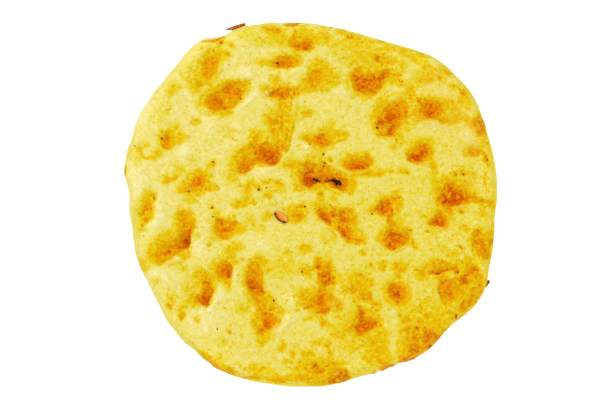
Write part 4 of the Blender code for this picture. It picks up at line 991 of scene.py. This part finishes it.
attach(loaf, "root")
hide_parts("flatbread")

# Crust splinters.
# Hard dry scraps of crust that came loose at the rim in baking and turned dark brown. Each is
# curled along its length, thinner towards one end, and stuck in the rim.

# The second colour shows over the first in streaks, between these values of their noise.
SPLINTER_COLOURS = ((0.58, 0.14, 0.010), (0.19, 0.022, 0.004))
STREAKS_SHOWN = (0.4, 0.62)

# Place x and y in the photograph's millimetres, length, width, thickness, turn and height.
SPLINTERS = (
    (-40.8, 94.3, 12.0, 3.5, 2.6, 15, 6.9),
    (94.0, -43.1, 4.8, 2.0, 2.0, 60, 4.4),
)
SPLINTER_TAPER = 0.7
SPLINTER_CURL = 0.05
LUMP_RADIUS = 0.5 * MM


def in_frame(x, y, height):
    """The place at this height that the photograph shows at x and y."""
    level = aim.copy()
    level.z = height
    right = (x / READ_PIXEL - READ_MIDDLE[0]) * PIXEL
    up = (y / READ_PIXEL - READ_MIDDLE[1]) * PIXEL
    towards = aim + Vector((right, 0, 0)) + up * picture_up
    ray = towards - camera.location
    return camera.location + ray * ((height - camera.location.z) / ray.z)


def start_lump(name):
    """A rough ball one millimetre across, ready to be worked in edit mode."""
    deselect_all()
    bpy.ops.mesh.primitive_ico_sphere_add(subdivisions=3, radius=LUMP_RADIUS)
    made = bpy.context.object
    made.name = made.data.name = name
    return made


def to_place(made, size, turn, place, facing=None):
    """Sizes a lump, turns it and puts it in place, facing as the crust does there, in its mesh."""
    make_active(made)
    bpy.ops.object.mode_set(mode="EDIT")
    bpy.ops.mesh.select_all(action="SELECT")
    bpy.ops.transform.resize(value=size)
    bpy.ops.object.mode_set(mode="OBJECT")
    turned = Matrix.Rotation(math.radians(turn), 4, "Z")
    upright = Vector((0, 0, 1))
    tilted = upright.rotation_difference(facing or upright).to_matrix().to_4x4()
    made.data.transform(Matrix.Translation(place) @ tilted @ turned)


def join_all(pieces, name):
    deselect_all()
    for made in pieces:
        made.select_set(True)
    bpy.context.view_layer.objects.active = pieces[0]
    bpy.ops.object.join()
    joined = bpy.context.object
    joined.name = joined.data.name = name
    return joined


splinters = []
for x, y, length, width, thickness, turn, height in SPLINTERS:
    splinter = start_lump("splinter")
    ball = points_of(splinter)

    # From -0.5 at one end of the splinter to 0.5 at the other.
    along = ball[:, 0] / MM
    thinner = 1 - SPLINTER_TAPER * (0.5 - along)
    ball[:, 1] *= thinner
    ball[:, 1] += SPLINTER_CURL * (4 * along ** 2 - 1) * MM * length / width
    ball[:, 2] *= thinner
    set_points(splinter, ball)
    to_place(splinter, (length, width, thickness), turn, in_frame(x, y, height * MM))
    splinters.append(splinter)
splinters = join_all(splinters, "crust_splinters")

scrap = Finish("dark dry crust")
streaks = scrap.noise(1.1 * MM, detail=3.0, roughness=0.6)
scrap.bumps(streaks, distance=0.3 * MM, strength=0.8)
streaked = scrap.mix(streaks.between(*STREAKS_SHOWN), *SPLINTER_COLOURS)
scrap.cover(splinters, streaked, roughness=0.55, gloss=0.08)
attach(splinters, "root")

# Charred blisters.
# Bubbles of dough that stood highest and burnt to a crackled black crust beside one hollow. They
# grew out of the loaf's own skin, so their lower halves are in it.

# The second colour shows over the first in spots, between these values of their noise.
CHAR_COLOURS = ((0.010, 0.009, 0.009), (0.055, 0.038, 0.022))
BURNT_SHOWN = (0.52, 0.7)

# Place x and y, length, width, height and turn from +X, in the photograph's millimetres.
BLISTERS = (
    (1.3, 12.9, 2.0, 1.4, 1.1, -20),
    (2.9, 12.4, 2.2, 1.4, 1.3, -15),
    (4.3, 11.7, 1.5, 1.1, 1.0, -40),
    (7.9, 11.7, 1.6, 0.8, 0.8, 0),
    (9.3, 12.1, 0.8, 0.6, 0.5, 0),
    (11.0, 12.4, 2.0, 1.2, 1.0, -10),
    (12.6, 12.0, 2.6, 2.0, 1.5, -15),
    (14.2, 11.3, 3.0, 2.5, 1.8, -25),
    (15.2, 10.7, 2.0, 2.0, 1.5, 10),
    (13.3, 9.9, 1.1, 1.0, 0.8, 0),
)
BLISTER_VOXEL = 0.16 * MM

# The cracks in the char: width and depth of each kind in millimetres, the seed of their noise, and
# which shares of their depth go across, up and in height.
BLISTER_CRACKS = ((1.1, 0.14), (0.5, 0.08))
CRACK_SEED = 41
CRACK_SHARES = (0.5, 0.5, 1.0)


def on_crust(x, y):
    """Where the loaf's crust shows at this place in the photograph, and which way it faces."""
    towards = in_frame(x, y, RIM_HEIGHT) - camera.location
    _, place, facing, _ = loaf.ray_cast(camera.location, towards)
    return place, facing


blisters = []
for x, y, length, width, height, turn in BLISTERS:
    blister = start_lump("blister")
    place, facing = on_crust(x, y)
    to_place(blister, (length, width, height), turn, place, facing)
    blisters.append(blister)
char = join_all(blisters, "charred_blisters")
renew_skin(char, BLISTER_VOXEL)
crusted = points_of(char)
rough = sum(reach * waves(crusted / MM, width, CRACK_SEED) for width, reach in BLISTER_CRACKS)
set_points(char, crusted + rough[:, None] * np.array(CRACK_SHARES) * MM)

soot = Finish("charred crust")
burnt = soot.noise(0.9 * MM, detail=3.0, roughness=0.6)
soot.bumps(burnt, distance=0.2 * MM, strength=0.8)
charred = soot.mix(burnt.between(*BURNT_SHOWN), *CHAR_COLOURS)
soot.cover(char, charred, roughness=0.6, gloss=0.08)
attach(char, "root")

# Dark specks.
# Grains of burnt flour and bran that stuck to the dough before it was baked, each sunk a little
# into the crust.

SPECK_COLOURS = ((0.09, 0.015, 0.0), (0.28, 0.06, 0.0))

# Place x and y, length, width and turn from +X, in the photograph's millimetres.
SPECKS = (
    (-48.4, 85.9, 1.3, 0.9, 0), (10.5, 94.3, 1.2, 1.0, 0), (-38.0, 56.1, 1.4, 1.1, 30),
    (35.1, 40.6, 1.9, 2.5, 20), (-18.3, 75.0, 1.8, 1.7, 0), (-80.3, 34.8, 1.3, 1.3, 0),
    (-94.6, 30.8, 1.0, 0.8, 0), (-52.5, 22.3, 1.7, 0.8, -5), (-65.6, 6.3, 1.5, 1.2, 40),
    (-84.2, 2.8, 0.7, 2.2, 20), (-53.2, -2.3, 1.2, 1.1, 0), (-52.8, -7.2, 1.0, 0.8, 0),
    (-50.5, -67.2, 1.0, 1.0, 0), (6.5, 26.3, 1.5, 1.2, 0), (7.2, 21.7, 1.3, 1.0, 20),
    (6.5, 20.0, 1.1, 1.0, 0), (-1.0, 31.3, 0.9, 0.9, 0), (-28.3, 7.4, 1.9, 1.2, 15),
    (-24.0, 8.5, 0.9, 0.8, 0), (-3.6, -1.7, 1.2, 1.0, 0), (-5.1, -36.6, 1.0, 0.9, 0),
    (-20.2, -52.0, 1.2, 1.3, 0), (32.5, -5.6, 1.2, 1.0, 0), (51.5, 16.5, 0.7, 0.6, 0),
    (77.3, 15.3, 0.9, 0.8, 0), (81.5, 15.8, 1.2, 1.0, 0), (94.2, 23.4, 0.8, 1.1, 20),
    (78.2, -37.0, 1.3, 1.1, 0), (77.5, -60.0, 2.2, 1.0, 70),
)

# How high a speck is and how deep it is sunk, and how rough it is: share, width in millimetres of
# its own ball, and the first seed.
SPECK_HEIGHT = 0.75
SPECK_SUNK = 0.12 * MM
SPECK_ROUGHNESS = (0.45, 0.55, 0)


def strew(rows, name, height, sunk, roughness):
    """Rough bits that lie on the crust, as one piece of this name."""
    share, grain_width, first_seed = roughness
    bits = []
    for seed, (x, y, length, width, turn) in enumerate(rows, first_seed):
        bit = start_lump("bit")
        ball = points_of(bit)
        ball *= 1 + share * waves(ball / MM, grain_width, seed)[:, None]
        set_points(bit, ball)
        place, facing = on_crust(x, y)
        to_place(bit, (length, width, height), turn, place - facing * sunk, facing)
        bits.append(bit)
    return join_all(bits, name)


specks = strew(SPECKS, "dark_specks", SPECK_HEIGHT, SPECK_SUNK, SPECK_ROUGHNESS)

bran = Finish("burnt bran")
bran.bumps(bran.noise(0.4 * MM), distance=0.15 * MM, strength=0.8)
scorched = bran.noise(7.0 * MM, detail=1.0, apart=4.4, shown=(0.45, 0.62))
bran.cover(specks, bran.mix(scorched, *SPECK_COLOURS), roughness=0.6, gloss=0.04)
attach(specks, "root")

# Pale grains.
# Coarse crumbs and undissolved salt that lie in the hollows and between them, half in the crust.

# The second colour clouds the first, between these values of its noise.
GRAIN_COLOURS = ((0.70, 0.58, 0.20), (0.80, 0.70, 0.34))
CLOUDS_SHOWN = (0.4, 0.6)

# Place x and y, length, width and turn from +X, in the photograph's millimetres.
GRAINS = (
    (-23.8, 59.0, 1.9, 3.0, 15), (-5.3, -56.3, 1.7, 1.3, 20), (7.0, 24.5, 1.1, 0.9, 0),
    (-64.5, 7.5, 1.0, 0.7, 0), (-21.5, 60.3, 1.0, 0.8, 0), (78.3, -60.5, 1.3, 0.9, 60),
)
GRAIN_HEIGHT = 1.3
GRAIN_SUNK = 0.0
GRAIN_ROUGHNESS = (0.35, 0.6, 60)

grains = strew(GRAINS, "pale_grains", GRAIN_HEIGHT, GRAIN_SUNK, GRAIN_ROUGHNESS)

salt = Finish("coarse crumb")
cloudy = salt.noise(0.8 * MM)
salt.bumps(cloudy, distance=0.15 * MM, strength=0.5)
clouded = salt.mix(cloudy.between(*CLOUDS_SHOWN), *GRAIN_COLOURS)
salt.cover(grains, clouded, roughness=0.6, gloss=0.05)
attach(grains, "root")

# The husk flake.
# A flake of grain husk, cupped, with a dark edge and a painted highlight near its upper edge,
# that stuck to the middle of the top. It lies in a shallow bed of its own in the crust.

HUSK_SIZE = (8.2, 4.3)
HUSK_FACES = (36, 20)
HUSK_TURN = -41
HUSK_THICKNESS = 0.35 * MM

# How far its edge stands up in millimetres and how steeply, and how it is crumpled: width and
# height in millimetres, and seed.
HUSK_CUP = 0.55
HUSK_CUP_POWER = 2.5
HUSK_CRUMPLE = (1.6, 0.16, 71)

# From the dark edge below, across the flake and a pale painted highlight near the top, to the edge
# above.
HUSK_COLOURS = (
    (0.0, (0.030, 0.006, 0.004)),
    (0.09, (0.14, 0.010, 0.004)),
    (0.16, (0.70, 0.12, 0.006)),
    (0.42, (0.80, 0.30, 0.010)),
    (0.66, (0.80, 0.36, 0.012)),
    (0.84, (0.84, 0.46, 0.08)),
    (1.0, (0.74, 0.20, 0.02)),
)
HUSK_VEINS = 0.25

# A square sheet is drawn in to an oval, cupped and given its thickness.
deselect_all()
bpy.ops.mesh.primitive_grid_add(x_subdivisions=HUSK_FACES[0], y_subdivisions=HUSK_FACES[1], size=2)
husk = bpy.context.object
husk.name = husk.data.name = "husk_flake"
sheet = points_of(husk)
square = sheet[:, :2].copy()
to_side = np.maximum(np.abs(square).max(axis=1), NEXT_TO_NOTHING)
to_corner = np.maximum(np.hypot(*square.T), NEXT_TO_NOTHING)
oval = square * (to_side / to_corner)[:, None]
sheet[:, 0] = oval[:, 0] * HUSK_SIZE[0] / 2
sheet[:, 1] = oval[:, 1] * HUSK_SIZE[1] / 2
crumple_width, crumple_height, crumple_seed = HUSK_CRUMPLE
crumpled = crumple_height * waves(sheet, crumple_width, crumple_seed)
sheet[:, 2] = HUSK_CUP * np.hypot(*oval.T) ** HUSK_CUP_POWER + crumpled
set_points(husk, sheet * MM)
solid = husk.modifiers.new("husk", "SOLIDIFY")
solid.thickness = HUSK_THICKNESS
apply_modifiers(husk)

husk_points = points_of(husk) / MM
oval_place = np.stack([husk_points[:, 0] / HUSK_SIZE[0], husk_points[:, 1] / HUSK_SIZE[1]]) * 2
below = 0.5 * (1 - np.hypot(oval_place[0], np.minimum(oval_place[1], 0)))
above = 0.5 + 0.5 * oval_place[1]
paint(husk, "from_edge", np.where(oval_place[1] < 0, below, above))
place, facing = on_crust(*HUSK_PLACE)
to_place(husk, (1, 1, 1), HUSK_TURN, place + HUSK_THICKNESS * facing, facing)

bran_skin = Finish("husk with painted highlight")
veins = bran_skin.noise(1.0 * MM, detail=3.0, roughness=0.6) - 0.5
bran_skin.bumps(veins, distance=0.2 * MM, strength=0.6)
flake_tone = bran_skin.attribute("from_edge") + veins * HUSK_VEINS
bran_skin.cover(husk, bran_skin.scale(flake_tone, HUSK_COLOURS), roughness=0.55, gloss=0.12)
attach(husk, "root")

# Floor and light.
# A plain pale floor that glows a little, so that it shows as white around the bread, and a white
# room with one broad soft light from the upper left.

FLOOR_SIZE = 6.0
FLOOR_DROP = 0.4 * MM
FLOOR_COLOUR = (0.62, 0.62, 0.62, 1.0)
FLOOR_ROUGHNESS = 0.9
FLOOR_GLOW = 0.74
WHITE = (1, 1, 1, 1)
ROOM_LIGHT = 0.76
SUN_STRENGTH = 1.6
SUN_WIDTH = math.radians(40)

bpy.context.scene.view_settings.view_transform = "Standard"
deselect_all()
bpy.ops.mesh.primitive_plane_add(size=FLOOR_SIZE, location=(0, 0, -FLOOR_DROP))
floor = bpy.context.object
floor.name = "floor"
floor_finish = Finish("pale floor")
floor_finish.shader.inputs["Base Color"].default_value = FLOOR_COLOUR
floor_finish.shader.inputs["Roughness"].default_value = FLOOR_ROUGHNESS
floor_finish.shader.inputs["Emission Color"].default_value = WHITE
floor_finish.shader.inputs["Emission Strength"].default_value = FLOOR_GLOW
floor.data.materials.append(floor_finish.material)

world = bpy.data.worlds.new("studio")
bpy.context.scene.world = world
world.use_nodes = True
world.node_tree.nodes["Background"].inputs["Color"].default_value = WHITE
world.node_tree.nodes["Background"].inputs["Strength"].default_value = ROOM_LIGHT

sun_data = bpy.data.lights.new("window", "SUN")
sun_data.energy = SUN_STRENGTH
sun_data.angle = SUN_WIDTH
sun = bpy.data.objects.new("window", sun_data)
bpy.context.scene.collection.objects.link(sun)
sun.rotation_euler = SUNWARD.to_track_quat("Z", "Y").to_euler()
